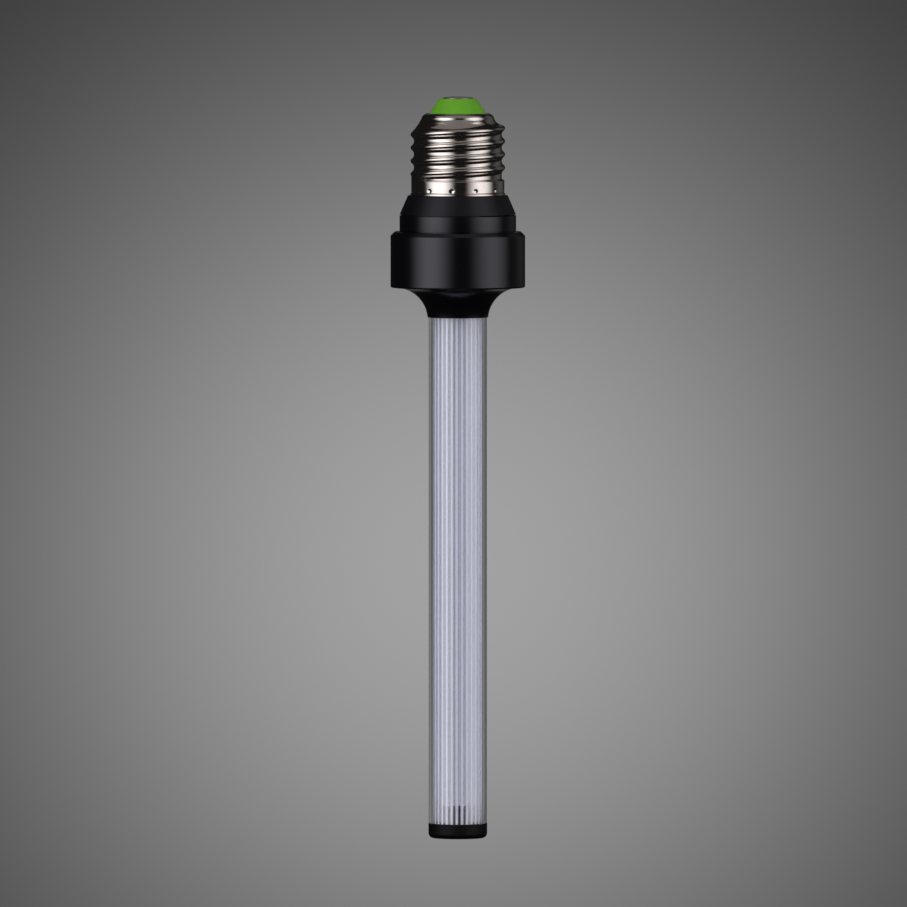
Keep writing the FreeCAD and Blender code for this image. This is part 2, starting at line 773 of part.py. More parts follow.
def make_led_emitter():
    """The light source: a square base with a round phosphor dam, facing down."""
    body = new_body("led_emitter")
    base = new_sketch(body, "base", "XY_Plane", f"{LEDGE} - emitter_base")
    draw(base, rectangle(f"0 - {EMITTER_HALF}", f"0 - {EMITTER_HALF}", EMITTER_HALF, EMITTER_HALF))
    raise_pad(body, "base", base, "emitter_base")
    low = f"{LEDGE} - emitter_base - emitter_dome_height"
    dam = circle_sketch(body, "dam", "0", "0", f"{EMITTER_HALF} - emitter_rim", low)
    raise_pad(body, "dam", dam, "emitter_dome_height")
    return body


def make_board_screws():
    """The slotted pan-head screws that clamp the light source's board to the ledge."""
    screws = []
    for index in range(int(number("screw_count"))):
        name = f"screw_{index + 1}"
        low = f"{LEDGE} - screw_grip"
        shank = rod(f"{name}_shank", "0", SCREW_CIRCLE, low, "screw_radius - slip",
                    "screw_grip + led_board_thickness")
        head = rod(f"{name}_head", "0", SCREW_CIRCLE, LED_BOARD_TOP, "screw_head_radius",
                   "screw_head_height")
        slot = box(f"{name}_slot", "0 - screw_slot_width / 2", f"{SCREW_CIRCLE} - screw_head_radius",
                   f"{LED_BOARD_TOP} + screw_head_height - screw_slot_depth",
                   "screw_slot_width", "screw_head_radius * 2", "screw_slot_depth")
        whole = joined(f"{name}_blank", [shank, head])
        screw = cut(name, whole, slot)
        screw.setExpression(".Placement.Rotation.Angle", bound(f"{index} * 360 / screw_count"))
        screws.append(screw)
    group = doc.addObject("Part::Compound", "board_screws")
    group.Links = screws
    group.Label = "board_screws"
    return group


def make_driver_board():
    """The upright circuit board in the collar's slots."""
    return box("driver_board", f"0 - {DRIVER_HALF}", "0 - driver_thickness / 2", DRIVER_FOOT,
               f"{DRIVER_HALF} * 2", "driver_thickness", f"{DRIVER_TOP} - {DRIVER_FOOT}")


def bent_leg(name, across, out, up, direction):
    """A component's leg, drawn square: straight off its end, then level to the board's face."""
    left = f"({across}) - leg_radius"
    front = f"({out}) - leg_radius"
    if direction > 0:
        low = up
        level = f"({up}) + leg_drop - leg_radius * 2"
    else:
        low = f"({up}) - leg_drop"
        level = low
    straight = box(f"{name}_straight", left, front, low, "leg_radius * 2", "leg_radius * 2", "leg_drop")
    reach = f"0 - {DRIVER_FACE} - ({front})"
    level_run = box(f"{name}_level", left, front, level, "leg_radius * 2", reach, "leg_radius * 2")
    return [straight, level_run]


def make_smoothing_capacitor():
    """The electrolytic can, lying along the board's front, with a crimped waist above its rubber end."""
    out = f"(0 - {DRIVER_FACE} - stand_off - can_radius)"
    foot = f"({DRIVER_TOP} - can_drop - can_height)"
    waist = f"({foot} + can_crimp_height)"
    shoulder = f"({waist} + can_crimp_width)"
    pieces = [
        rod("can_foot", "0", out, foot, "can_radius", "can_crimp_height"),
        rod("can_waist", "0", out, waist, "can_radius - can_crimp_depth", "can_crimp_width"),
        rod("can_barrel", "0", out, shoulder, "can_radius", "can_height - can_crimp_height - can_crimp_width"),
    ]
    for side, name in (("1", "right"), ("-1", "left")):
        across = f"({side}) * can_leg_spacing / 2"
        pieces += bent_leg(f"can_{name}", across, out, foot, -1)
    return joined("smoothing_capacitor", pieces)


def make_input_capacitor():
    """The film capacitor's block with its two short pins in the board."""
    high = f"({DRIVER_TOP} - film_drop)"
    back = f"(0 - {DRIVER_FACE} - stand_off)"
    block = box("film_block", "0 - film_width / 2", f"{back} - film_thickness", f"{high} - film_height",
                "film_width", "film_thickness", "film_height")
    pieces = [block]
    for side, name in (("1", "right"), ("-1", "left")):
        across = f"({side}) * film_leg_spacing / 2"
        pieces.append(rod(f"film_{name}", across, back, f"{high} - film_height / 2", "leg_radius",
                          "stand_off", (0, 1, 0)))
    return joined("input_capacitor", pieces)


def make_fusible_resistor():
    """The resistor beside the can, on bent legs at both ends."""
    out = f"(0 - {DRIVER_FACE} - resistor_out)"
    high = f"({DRIVER_TOP} - resistor_drop)"
    low = f"({high} - resistor_length)"
    across = f"({DRIVER_HALF} - resistor_inset)"
    pieces = [rod("resistor_body", across, out, low, "resistor_radius", "resistor_length")]
    pieces += bent_leg("resistor_upper", across, out, high, 1)
    pieces += bent_leg("resistor_lower", across, out, low, -1)
    return joined("fusible_resistor", pieces)


def transformer_middle():
    """The transformer's middle, out from the board's back."""
    return f"({DRIVER_FACE} + stand_off + bobbin_depth)"


def make_transformer_core():
    """The ferrite core: a block with a window on each side of its middle leg."""
    middle = transformer_middle()
    low = f"({DRIVER_TOP} - core_drop - core_height)"
    front = f"({middle} - core_thickness / 2)"
    block = box("core_block", "0 - core_width / 2", front, low, "core_width", "core_thickness", "core_height")
    windows = []
    side = "(core_width - core_leg) / 2 - core_leg / 2"
    for left, name in (("core_leg / 2", "right"), (f"0 - core_leg / 2 - ({side})", "left")):
        windows.append(box(f"core_window_{name}", left, front, f"{low} + core_yoke",
                           side, "core_thickness", "core_height - 2 * core_yoke"))
    return cut("transformer_core", block, joined("core_windows", windows))


def ring_block(name, low, height, half_width, half_depth, inner_width, inner_depth):
    """A rectangular ring about the transformer's middle leg."""
    middle = transformer_middle()
    outer = box(f"{name}_outer", f"0 - ({half_width})", f"{middle} - ({half_depth})", low,
                f"2 * ({half_width})", f"2 * ({half_depth})", height)
    inner = box(f"{name}_inner", f"0 - ({inner_width})", f"{middle} - ({inner_depth})", low,
                f"2 * ({inner_width})", f"2 * ({inner_depth})", height)
    return cut(name, outer, inner)


def make_transformer_bobbin():
    """The moulded bobbin: a square sleeve with a flange at each end and four pins to the board."""
    low = f"({DRIVER_TOP} - core_drop - core_height + core_yoke + slip)"
    length = "(core_height - 2 * core_yoke - 2 * slip)"
    sleeve_width = "core_leg / 2 + slip"
    sleeve_depth = "core_thickness / 2 + slip"
    pieces = [ring_block("bobbin_sleeve", low, length, f"{sleeve_width} + bobbin_wall",
                         f"{sleeve_depth} + bobbin_wall", sleeve_width, sleeve_depth)]
    for name, start in (("lower", low), ("upper", f"{low} + {length} - bobbin_flange")):
        pieces.append(ring_block(f"bobbin_{name}", start, "bobbin_flange", "bobbin_reach", "bobbin_depth",
                                 sleeve_width, sleeve_depth))
        for side, hand in (("1", "right"), ("-1", "left")):
            across = f"({side}) * (bobbin_reach - leg_radius * 2)"
            pieces.append(rod(f"bobbin_{name}_{hand}_pin", across, DRIVER_FACE, f"{start} + bobbin_flange / 2",
                              "bobbin_flange / 2", "stand_off * 2", (0, 1, 0)))
    return joined("transformer_bobbin", pieces)


def make_transformer_winding():
    """The copper winding, filled to just short of the flanges' edge."""
    low = f"({DRIVER_TOP} - core_drop - core_height + core_yoke + slip + bobbin_flange)"
    length = "(core_height - 2 * core_yoke - 2 * slip - 2 * bobbin_flange)"
    width = "core_leg / 2 + slip + bobbin_wall"
    depth = "core_thickness / 2 + slip + bobbin_wall"
    ring = ring_block("winding_block", low, length, f"{width} + winding_build", f"{depth} + winding_build_out",
                      width, depth)
    doc.recompute()
    rounded = doc.addObject("Part::Fillet", "transformer_winding")
    rounded.Base = ring
    rounding = number("winding_round")
    upright = []
    for index, edge in enumerate(ring.Shape.Edges, 1):
        extent = edge.BoundBox
        stands = extent.ZLength > number(length) / 2
        outside = abs(extent.Center.x) > number(f"{width} + winding_build / 2")
        if stands and outside:
            upright.append((index, rounding, rounding))
    rounded.Edges = upright
    rounded.Label = "transformer_winding"
    return rounded


def flat_legs(name, across, up, width, length, pitch, rows, height):
    """The flat legs of a surface-mounted part, in two rows, from its sides down to the board's back."""
    legs = []
    for row in range(rows):
        shift = f"({row} - ({rows} - 1) / 2) * ({pitch})"
        for side, hand in (("0 - chip_leg_reach", "left"), (f"{width}", "right")):
            left = f"({across}) - ({width}) / 2 + ({side})"
            low = f"({up}) + {shift} - chip_leg_width / 2"
            foot = box(f"{name}_{hand}_{row + 1}", left, DRIVER_FACE, low,
                       "chip_leg_reach", f"({height}) / 2", "chip_leg_width")
            legs.append(foot)
    return legs


def make_driver_chip():
    """The eight-legged control chip on the board's back."""
    across = "(0 - chip_across)"
    up = f"({DRIVER_TOP} - chip_drop)"
    body = box("chip_body", f"{across} - chip_width / 2", f"{DRIVER_FACE} + slip", f"{up} - chip_length / 2",
               "chip_width", "chip_height", "chip_length")
    legs = flat_legs("chip", across, up, "chip_width", "chip_length", "chip_leg_pitch", 4, "chip_height")
    return joined("driver_chip", [body] + legs)


def make_bridge_rectifier():
    """The four-legged rectifier on the board's back."""
    across = "bridge_across"
    up = f"({DRIVER_TOP} - bridge_drop)"
    body = box("bridge_body", f"{across} - bridge_width / 2", f"{DRIVER_FACE} + slip",
               f"{up} - bridge_length / 2", "bridge_width", "bridge_height", "bridge_length")
    legs = flat_legs("bridge", across, up, "bridge_width", "bridge_length", "bridge_leg_pitch", 2,
                     "bridge_height")
    return joined("bridge_rectifier", [body] + legs)


def make_lead(label, role, offset, route, start):
    """One insulated lead: a round wire swept along straight runs joined by tangent arcs."""
    body = new_body(label)
    path = new_sketch(body, "path", role, offset)
    draw(path, route, closed=False)
    end = circle_sketch(body, "end", start[0], start[1], "wire_radius", start[2])
    pipe = body.newObject("PartDesign::AdditivePipe", f"{label}_pipe")
    pipe.Profile = end
    pipe.Spine = path
    doc.recompute()
    length = path.Shape.Length
    expected = length * math.pi * number("wire_radius") ** 2
    if abs(pipe.Shape.Volume / expected - 1) > 0.01:
        raise RuntimeError(f"{label} has the wrong volume")
    print(f"{label}: length {length:.2f}")
    return body


def make_contact_lead():
    """From the board's back up into the rivet's bore."""
    start = f"({DRIVER_TOP} - lead_drop)"
    leave = f"({DRIVER_TOP} + wire_radius)"
    join = f"({leave} + contact_lead_join)"
    finish = f"({INSULATOR_TOP} - rivet_length + rivet_bore_depth - stand_off)"
    route = [
        corner(WIRE_OFF, start),
        corner(WIRE_OFF, leave, "wire_bend"),
        corner("0", join, "wire_bend"),
        corner("0", finish),
    ]
    return make_lead("contact_lead", "YZ_Plane", "0", route, ("0", WIRE_OFF, start))


def make_shell_lead():
    """From the board's back up and out through the collar's notch to the shell."""
    start = f"({DRIVER_TOP} - lead_drop)"
    level = f"({SPIGOT_TOP} - lead_notch_depth + wire_radius + stand_off)"
    wall = "(thread_root_radius - shell_wall - stand_off)"
    route = [
        corner("0 - shell_lead_across", start),
        corner("0 - shell_lead_across", level, "shell_lead_bend"),
        corner(f"0 - {wall}", level),
    ]
    return make_lead("shell_lead", "XZ_Plane", f"0 - {WIRE_OFF}", route,
                     ("0 - shell_lead_across", WIRE_OFF, start))


def make_led_lead(label, side):
    """From the board's front down through the light source board's hole."""
    start = f"({DRIVER_FOOT} + led_lead_rise)"
    leave = f"({DRIVER_FOOT} - wire_radius)"
    join = f"({leave} - led_lead_join)"
    finish = f"({LEDGE} - led_lead_foot)"
    route = [
        corner(f"0 - {WIRE_OFF}", start),
        corner(f"0 - {WIRE_OFF}", leave, "wire_bend"),
        corner("0", join, "wire_bend"),
        corner("0", finish),
    ]
    across = f"({side}) * led_lead_spacing / 2"
    return make_lead(label, "YZ_Plane", across, route, (across, f"0 - {WIRE_OFF}", start))


def make_leads():
    """The four leads between board, cap and light source."""
    return [
        make_contact_lead(),
        make_shell_lead(),
        make_led_lead("led_lead_positive", "1"),
        make_led_lead("led_lead_negative", "-1"),
    ]


def build_all():
    """Every sub-part, from the cap down to the end cap."""
    shell = make_screw_shell()
    punch_skirt(shell)
    parts = [shell, make_cap_insulator(), make_centre_contact(), make_base_collar(), make_housing()]
    parts += [make_outer_tube(), make_light_guide(), make_end_cap()]
    parts += [make_led_board(), make_led_emitter(), make_board_screws()]
    parts += [make_driver_board(), make_smoothing_capacitor(), make_input_capacitor()]
    parts += [make_fusible_resistor(), make_transformer_core(), make_transformer_bobbin()]
    parts += [make_transformer_winding(), make_driver_chip(), make_bridge_rectifier()]
    parts += make_leads()
    return parts


def check_objects(parts):
    """Stop on any failed object, or on a sub-part that is empty or not a valid solid."""
    for item in doc.Objects:
        for word in ("Invalid", "Error"):
            if word in item.State:
                raise RuntimeError(f"{item.Label} failed: {item.State}")
    for item in parts:
        shape = item.Shape
        if shape.isNull() or not shape.isValid() or not shape.Solids:
            raise RuntimeError(f"{item.Label} has no valid solid")


def write_parts(parts):
    """One STEP file for each sub-part, named by its label."""
    os.makedirs("parts", exist_ok=True)
    for item in parts:
        item.Shape.exportStep(os.path.join("parts", f"{item.Label}.step"))
        print(item.Label, len(item.Shape.Solids), round(item.Shape.Volume, 2))


fill_sheet()
sub_parts = build_all()
doc.recompute()
check_objects(sub_parts)
write_parts(sub_parts)
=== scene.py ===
"""Decorative tube bulb: its looks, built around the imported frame, in metres.

+Z points up to the centre contact, and the origin lies on the axis where the screw shell meets the
collar. Outlines are given in millimetres as (across, up) and spun about the upright axis.
"""

import logging
import math
from collections.abc import Iterable, Sequence
from dataclasses import dataclass, field
from enum import Enum

import bmesh
import bpy
from mathutils import Matrix, Vector

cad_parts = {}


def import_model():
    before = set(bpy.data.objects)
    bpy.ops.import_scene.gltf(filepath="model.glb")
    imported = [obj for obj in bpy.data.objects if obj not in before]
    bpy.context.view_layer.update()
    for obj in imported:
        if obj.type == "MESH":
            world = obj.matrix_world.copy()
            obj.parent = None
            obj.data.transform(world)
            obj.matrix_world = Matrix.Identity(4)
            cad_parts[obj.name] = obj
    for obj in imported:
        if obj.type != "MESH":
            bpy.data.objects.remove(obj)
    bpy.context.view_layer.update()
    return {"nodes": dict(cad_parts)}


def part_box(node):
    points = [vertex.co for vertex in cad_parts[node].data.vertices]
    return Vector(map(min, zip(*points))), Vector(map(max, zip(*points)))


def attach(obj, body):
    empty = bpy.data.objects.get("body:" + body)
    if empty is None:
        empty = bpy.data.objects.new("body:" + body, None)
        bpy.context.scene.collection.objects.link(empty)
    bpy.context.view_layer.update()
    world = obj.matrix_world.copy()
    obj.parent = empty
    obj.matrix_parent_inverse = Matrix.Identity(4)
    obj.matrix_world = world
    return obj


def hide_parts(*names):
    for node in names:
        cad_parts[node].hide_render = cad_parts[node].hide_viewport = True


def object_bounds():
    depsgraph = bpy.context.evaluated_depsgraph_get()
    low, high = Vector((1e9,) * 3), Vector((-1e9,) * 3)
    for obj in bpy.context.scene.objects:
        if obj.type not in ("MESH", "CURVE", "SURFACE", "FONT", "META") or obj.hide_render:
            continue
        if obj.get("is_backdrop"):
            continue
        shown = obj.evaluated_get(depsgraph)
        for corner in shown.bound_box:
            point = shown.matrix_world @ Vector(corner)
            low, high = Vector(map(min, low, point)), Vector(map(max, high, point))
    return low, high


MM = 0.001
ORIGIN = (0.0, 0.0, 0.0)
UPRIGHT = (0.0, 0.0, 1.0)
SHARP_ANGLE = math.radians(32)
FLAT_ANGLE = math.radians(0.5)
MERGE_DISTANCE = 1e-6
# How close two sizes in millimetres are taken to be the same.
NEAR = 0.01
# Blender's noise keeps mostly to this range, so a pattern is stretched from it.
PATTERN_MIDDLE = (0.3, 0.7)
# At a scale of one, each band of Blender's wave texture is this wide.
WAVE_BAND = math.tau / 20
ETCHED = "etched"

log = logging.getLogger("tube_bulb")


def colour(text: str) -> tuple[float, float, float, float]:
    """Turn an sRGB hex colour into the linear one that a shader takes.

    Args:
        text: Six hex digits, with or without a leading hash sign.

    Returns:
        Red, green, blue and an alpha of one.
    """
    digits = text.lstrip("#")
    channels = [int(digits[start:start + 2], 16) / 255 for start in (0, 2, 4)]
    linear = [c / 12.92 if c <= 0.04045 else ((c + 0.055) / 1.055) ** 2.4 for c in channels]
    return (*linear, 1.0)


def per_metre(size: float) -> float:
    """Return the texture scale at which one feature measures the given number of millimetres."""
    return 1 / (size * MM)


def add_node(
    tree: bpy.types.NodeTree,
    kind: str,
    settings: dict[str, object] | None = None,
    sockets: dict[str | int, object] | None = None,
) -> bpy.types.Node:
    """Add one node with its settings, its sockets' values and its links.

    Args:
        tree: The tree that takes the node.
        kind: The node's type name.
        settings: Attributes of the node.
        sockets: For each input, by name or number, a value or the output that feeds it.

    Returns:
        The new node.
    """
    node = tree.nodes.new(kind)
    for name, value in (settings or {}).items():
        setattr(node, name, value)
    for name, value in (sockets or {}).items():
        if isinstance(value, bpy.types.NodeSocket):
            tree.links.new(value, node.inputs[name])
        else:
            node.inputs[name].default_value = value
    return node


def reach(vert: bmesh.types.BMVert) -> float:
    """Return how far a point lies from the axis, in millimetres."""
    return math.hypot(vert.co.x, vert.co.y) / MM


def height(vert: bmesh.types.BMVert) -> float:
    """Return how high a point lies, in millimetres."""
    return vert.co.z / MM


def move_to_reach(vert: bmesh.types.BMVert, wide: float) -> None:
    """Move a point straight out from the axis, or in towards it.

    Args:
        vert: The point.
        wide: Its new distance from the axis, in millimetres.
    """
    scale = wide / reach(vert)
    vert.co.x *= scale
    vert.co.y *= scale


def ring_zone(
    mesh: bmesh.types.BMesh, inner: float, low: float, high: float,
) -> list[bmesh.types.BMVert]:
    """Find the points of a mesh that lie in a ring round the axis.

    Args:
        mesh: The mesh.
        inner: The ring's inner radius, in millimetres.
        low: The height of its lower end, in millimetres.
        high: The height of its upper end, in millimetres.

    Returns:
        The points further out than the radius and between both heights.
    """
    return [vert for vert in mesh.verts if reach(vert) > inner and low < height(vert) < high]


def mesh_object(
    name: str, mesh: bmesh.types.BMesh, material: bpy.types.Material,
) -> bpy.types.Object:
    """Turn a finished bmesh into an object of the scene.

    Args:
        name: The object's name.
        mesh: Its shape, in place. It is used up.
        material: Its material.

    Returns:
        The new object, at the origin.
    """
    data = bpy.data.meshes.new(name)
    mesh.to_mesh(data)
    mesh.free()
    data.materials.append(material)
    made = bpy.data.objects.new(name, data)
    bpy.context.scene.collection.objects.link(made)
    return made


def area_lamp(name: str, size: tuple[float, float], radiance: float) -> bpy.types.Object:
    """Add a flat lamp whose face has the given radiance.

    Args:
        name: The lamp's name.
        size: The width and height of its face, in metres.
        radiance: How bright the face is.

    Returns:
        The lamp's object, at the origin and facing down.
    """
    lamp = bpy.data.lights.new(name, "AREA")
    lamp.shape = "RECTANGLE"
    lamp.size, lamp.size_y = size
    lamp.energy = radiance * lamp.size * lamp.size_y * math.pi
    holder = bpy.data.objects.new(name, lamp)
    bpy.context.scene.collection.objects.link(holder)
    return holder


class Pattern(Enum):
    """How a fine pattern is stretched over a piece."""

    EVEN = (1.0, 1.0, 1.0)
    AROUND = (0.02, 0.02, 1.0)
    UPRIGHT = (1.0, 1.0, 0.01)


class Surface:
    """A new material with its shader, and the few patterns that the finishes share."""

    def __init__(self, name: str) -> None:
        """Start a material.

        Args:
            name: What it is called.
        """
        self.material = bpy.data.materials.new(name)
        self.material.use_nodes = True
        self.tree = self.material.node_tree
        self.shader = self.tree.nodes["Principled BSDF"]
        self.place = add_node(self.tree, "ShaderNodeTexCoord").outputs["Object"]

    def set(self, **values: object) -> None:
        """Set the shader's sockets.

        Args:
            values: A value or an output for each, named with underscores for spaces.
        """
        for name, value in values.items():
            socket = self.shader.inputs[name.replace("_", " ")]
            if isinstance(value, bpy.types.NodeSocket):
                self.tree.links.new(value, socket)
            else:
                socket.default_value = value

    def noise(
        self, size: float, pattern: Pattern = Pattern.EVEN, detail: float = 2.0,
    ) -> bpy.types.NodeSocket:
        """Lay noise over the piece.

        Args:
            size: The size of its features in millimetres.
            pattern: How it is stretched.
            detail: How many finer layers it holds.

        Returns:
            The noise's value.
        """
        stretched = add_node(self.tree, "ShaderNodeMapping", None, {
            "Vector": self.place, "Scale": pattern.value,
        })
        made = add_node(self.tree, "ShaderNodeTexNoise", None, {
            "Vector": stretched.outputs["Vector"], "Scale": per_metre(size), "Detail": detail,
        })
        return made.outputs["Fac"]

    def vary(
        self, value: bpy.types.NodeSocket, middle: float, spread: float,
    ) -> bpy.types.NodeSocket:
        """Let a number rise and fall with a pattern.

        Args:
            value: The pattern.
            middle: The number's middle.
            spread: How far it goes to both sides.

        Returns:
            The number over the piece.
        """
        start, end = PATTERN_MIDDLE
        made = add_node(self.tree, "ShaderNodeMapRange", None, {
            "Value": value, "From Min": start, "From Max": end,
            "To Min": middle - spread, "To Max": middle + spread,
        })
        return made.outputs["Result"]

    def blend(self, value: bpy.types.NodeSocket, low: str, high: str) -> bpy.types.NodeSocket:
        """Blend two colours by a pattern.

        Args:
            value: The pattern.
            low: The sRGB hex colour where the pattern is low.
            high: The one where it is high.

        Returns:
            The colour over the piece.
        """
        made = add_node(self.tree, "ShaderNodeMix", {"data_type": "RGBA"}, {
            0: self.vary(value, 0.5, 0.5), 6: colour(low), 7: colour(high),
        })
        return made.outputs[2]

    def relief(self, value: bpy.types.NodeSocket, depth: float, strength: float = 0.5) -> None:
        """Raise the surface by a pattern.

        Args:
            value: The pattern.
            depth: How high it rises, in millimetres.
            strength: How much of the slope the light sees.
        """
        made = add_node(self.tree, "ShaderNodeBump", None, {
            "Height": value, "Distance": depth * MM, "Strength": strength,
        })
        self.set(Normal=made.outputs["Normal"])


@dataclass(frozen=True)
class Finish:
    """A real finish, which knows how to make its material."""

    name: str

    def make(self) -> bpy.types.Material:
        """Make the finish.

        Returns:
            The new material.
        """
        raise NotImplementedError


@dataclass(frozen=True)
class RolledPlate(Finish):
    """Plated metal, rolled or pressed to shape: a mirror, hazed along its fine tool lines."""

    tint: str
    shade: str
    roughness: float
    haze: float
    line: float = 0.12
    line_depth: float = 0.004
    smudge: float = 3.0

    def make(self) -> bpy.types.Material:
        """Make the plated metal, with fine rolling lines and faint handling marks.

        Returns:
            The new material.
        """
        surface = Surface(self.name)
        lines = surface.noise(self.line, Pattern.AROUND, detail=3.0)
        smudges = surface.noise(self.smudge)
        surface.set(
            Base_Color=surface.blend(smudges, self.shade, self.tint),
            Metallic=1.0,
            Roughness=surface.vary(lines, self.roughness, self.haze),
        )
        surface.relief(lines, self.line_depth)
        return surface.material


@dataclass(frozen=True)
class Moulding(Finish):
    """Moulded plastic: the colour is in the material, and the skin has the tool's fine grain."""

    tint: str
    shade: str
    roughness: float
    grain: float
    grain_depth: float
    ior: float = 1.5
    sheen: str = "#ffffff"
    spread: float = 0.06
    drift: float = 4.0
    grain_strength: float = 0.6

    def make(self) -> bpy.types.Material:
        """Make the plastic, with its grain and a slight drift of colour.

        Returns:
            The new material.
        """
        surface = Surface(self.name)
        grain = surface.noise(self.grain, detail=3.0)
        surface.set(
            Base_Color=surface.blend(surface.noise(self.drift), self.shade, self.tint),
            Roughness=surface.vary(grain, self.roughness, self.spread),
            IOR=self.ior,
            Specular_Tint=colour(self.sheen),
        )
        surface.relief(grain, self.grain_depth, self.grain_strength)
        return surface.material


@dataclass(frozen=True)
class TurnedAnodised(Finish):
    """Turned aluminium, dyed and anodised: a hard satin skin over very fine turning lines."""

    tint: str
    shade: str
    roughness: float
    sheen: str
    line: float = 0.16
    line_depth: float = 0.002
    blast: float = 0.09
    spread: float = 0.04
    ior: float = 1.56

    def make(self) -> bpy.types.Material:
        """Make the anodised metal. Its lines are drawn coarser than real ones, so that they show.

        Returns:
            The new material.
        """
        surface = Surface(self.name)
        lines = surface.noise(self.line, Pattern.AROUND)
        blast = surface.noise(self.blast)
        surface.set(
            Base_Color=surface.blend(lines, self.shade, self.tint),
            Roughness=surface.vary(blast, self.roughness, self.spread),
            IOR=self.ior,
            Specular_Tint=colour(self.sheen),
        )
        surface.relief(lines, self.line_depth)
        return surface.material


@dataclass(frozen=True)
class DrawnGlass(Finish):
    """Clear drawn glass tube: smooth, with hardly visible draw lines along its length."""

    tint: str = "#f7f9fb"
    line: float = 0.8
    haze: float = 0.0075
    ior: float = 1.47

    def make(self) -> bpy.types.Material:
        """Make the clear glass.

        Returns:
            The new material.
        """
        surface = Surface(self.name)
        lines = surface.noise(self.line, Pattern.UPRIGHT)
        surface.set(
            Base_Color=colour(self.tint),
            Roughness=surface.vary(lines, self.haze, self.haze),
            IOR=self.ior,
            Transmission_Weight=1.0,
        )
        return surface.material


@dataclass(frozen=True)
class ExtrudedAcrylic(Finish):
    """Extruded acrylic: clear ridges between grooves, etched white to let the light out."""

    clear: str
    etched: str
    milkiness: float
    etched_roughness: float
    polish: float = 0.02
    ior: float = 1.49

    def make(self) -> bpy.types.Material:
        """Make the acrylic. The piece's own attribute says where it is etched.

        Returns:
            The new material.
        """
        surface = Surface(self.name)
        mask = add_node(surface.tree, "ShaderNodeAttribute", {
            "attribute_name": ETCHED,
        }).outputs["Fac"]
        tint = add_node(surface.tree, "ShaderNodeMix", {"data_type": "RGBA"}, {
            0: mask, 6: colour(self.clear), 7: colour(self.etched),
        })
        clearness = add_node(surface.tree, "ShaderNodeMapRange", None, {
            "Value": mask, "To Min": 1.0, "To Max": 1 - self.milkiness,
        })
        roughness = add_node(surface.tree, "ShaderNodeMapRange", None, {
            "Value": mask, "To Min": self.polish, "To Max": self.etched_roughness,
        })
        surface.set(
            Base_Color=tint.outputs[2],
            Roughness=roughness.outputs["Result"],
            IOR=self.ior,
            Transmission_Weight=clearness.outputs["Result"],
        )
        return surface.material


@dataclass(frozen=True)
class PaintedBoard(Finish):
    """A circuit board's solder mask: a glossy skin, lighter over the copper that lies under it."""

    mask: str
    track: str
    pitch: float = 1.6
    gap: float = 0.08
    weave: float = 0.25
    roughness: float = 0.33
    spread: float = 0.05
    coat: float = 0.4
    coat_roughness: float = 0.15
    copper: float = 0.02

    def make(self) -> bpy.types.Material:
        """Make the board, with tracks as blocks under the mask.

        Returns:
            The new material.
        """
        surface = Surface(self.name)
        tracks = add_node(surface.tree, "ShaderNodeTexBrick", None, {
            "Vector": surface.place, "Color1": colour(self.mask), "Color2": colour(self.track),
            "Mortar": colour(self.mask), "Scale": per_metre(self.pitch), "Mortar Size": self.gap,
        })
        surface.set(
            Base_Color=tracks.outputs["Color"],
            Roughness=surface.vary(surface.noise(self.weave), self.roughness, self.spread),
            Coat_Weight=self.coat,
            Coat_Roughness=self.coat_roughness,
        )
        surface.relief(tracks.outputs["Fac"], self.copper)
        return surface.material


@dataclass(frozen=True)
class SpeckledBody(Finish):
    """A dull part that is pressed or sintered from powder, with a fine speckle."""

    tint: str
    speck: str
    roughness: float
    grain: float = 0.2
    grain_depth: float = 0.01
    spread: float = 0.08

    def make(self) -> bpy.types.Material:
        """Make the pressed body.

        Returns:
            The new material.
        """
        surface = Surface(self.name)
        grain = surface.noise(self.grain, detail=4.0)
        surface.set(
            Base_Color=surface.blend(grain, self.speck, self.tint),
            Roughness=surface.vary(grain, self.roughness, self.spread),
        )
        surface.relief(grain, self.grain_depth)
        return surface.material


@dataclass(frozen=True)
class WoundWire(Finish):
    """Enamelled copper wire, wound in close turns round an upright axis."""

    tint: str
    shade: str
    wire: float
    waver: float = 0.4
    roughness: float = 0.3

    def make(self) -> bpy.types.Material:
        """Make the winding, with one band for each turn.

        Returns:
            The new material.
        """
        surface = Surface(self.name)
        turns = add_node(surface.tree, "ShaderNodeTexWave", {"bands_direction": "Z"}, {
            "Vector": surface.place, "Scale": per_metre(self.wire) * WAVE_BAND,
            "Distortion": self.waver,
        })
        surface.set(
            Base_Color=surface.blend(turns.outputs["Fac"], self.shade, self.tint),
            Metallic=1.0,
            Roughness=self.roughness,
        )
        surface.relief(turns.outputs["Fac"], self.wire / 2, 1.0)
        return surface.material


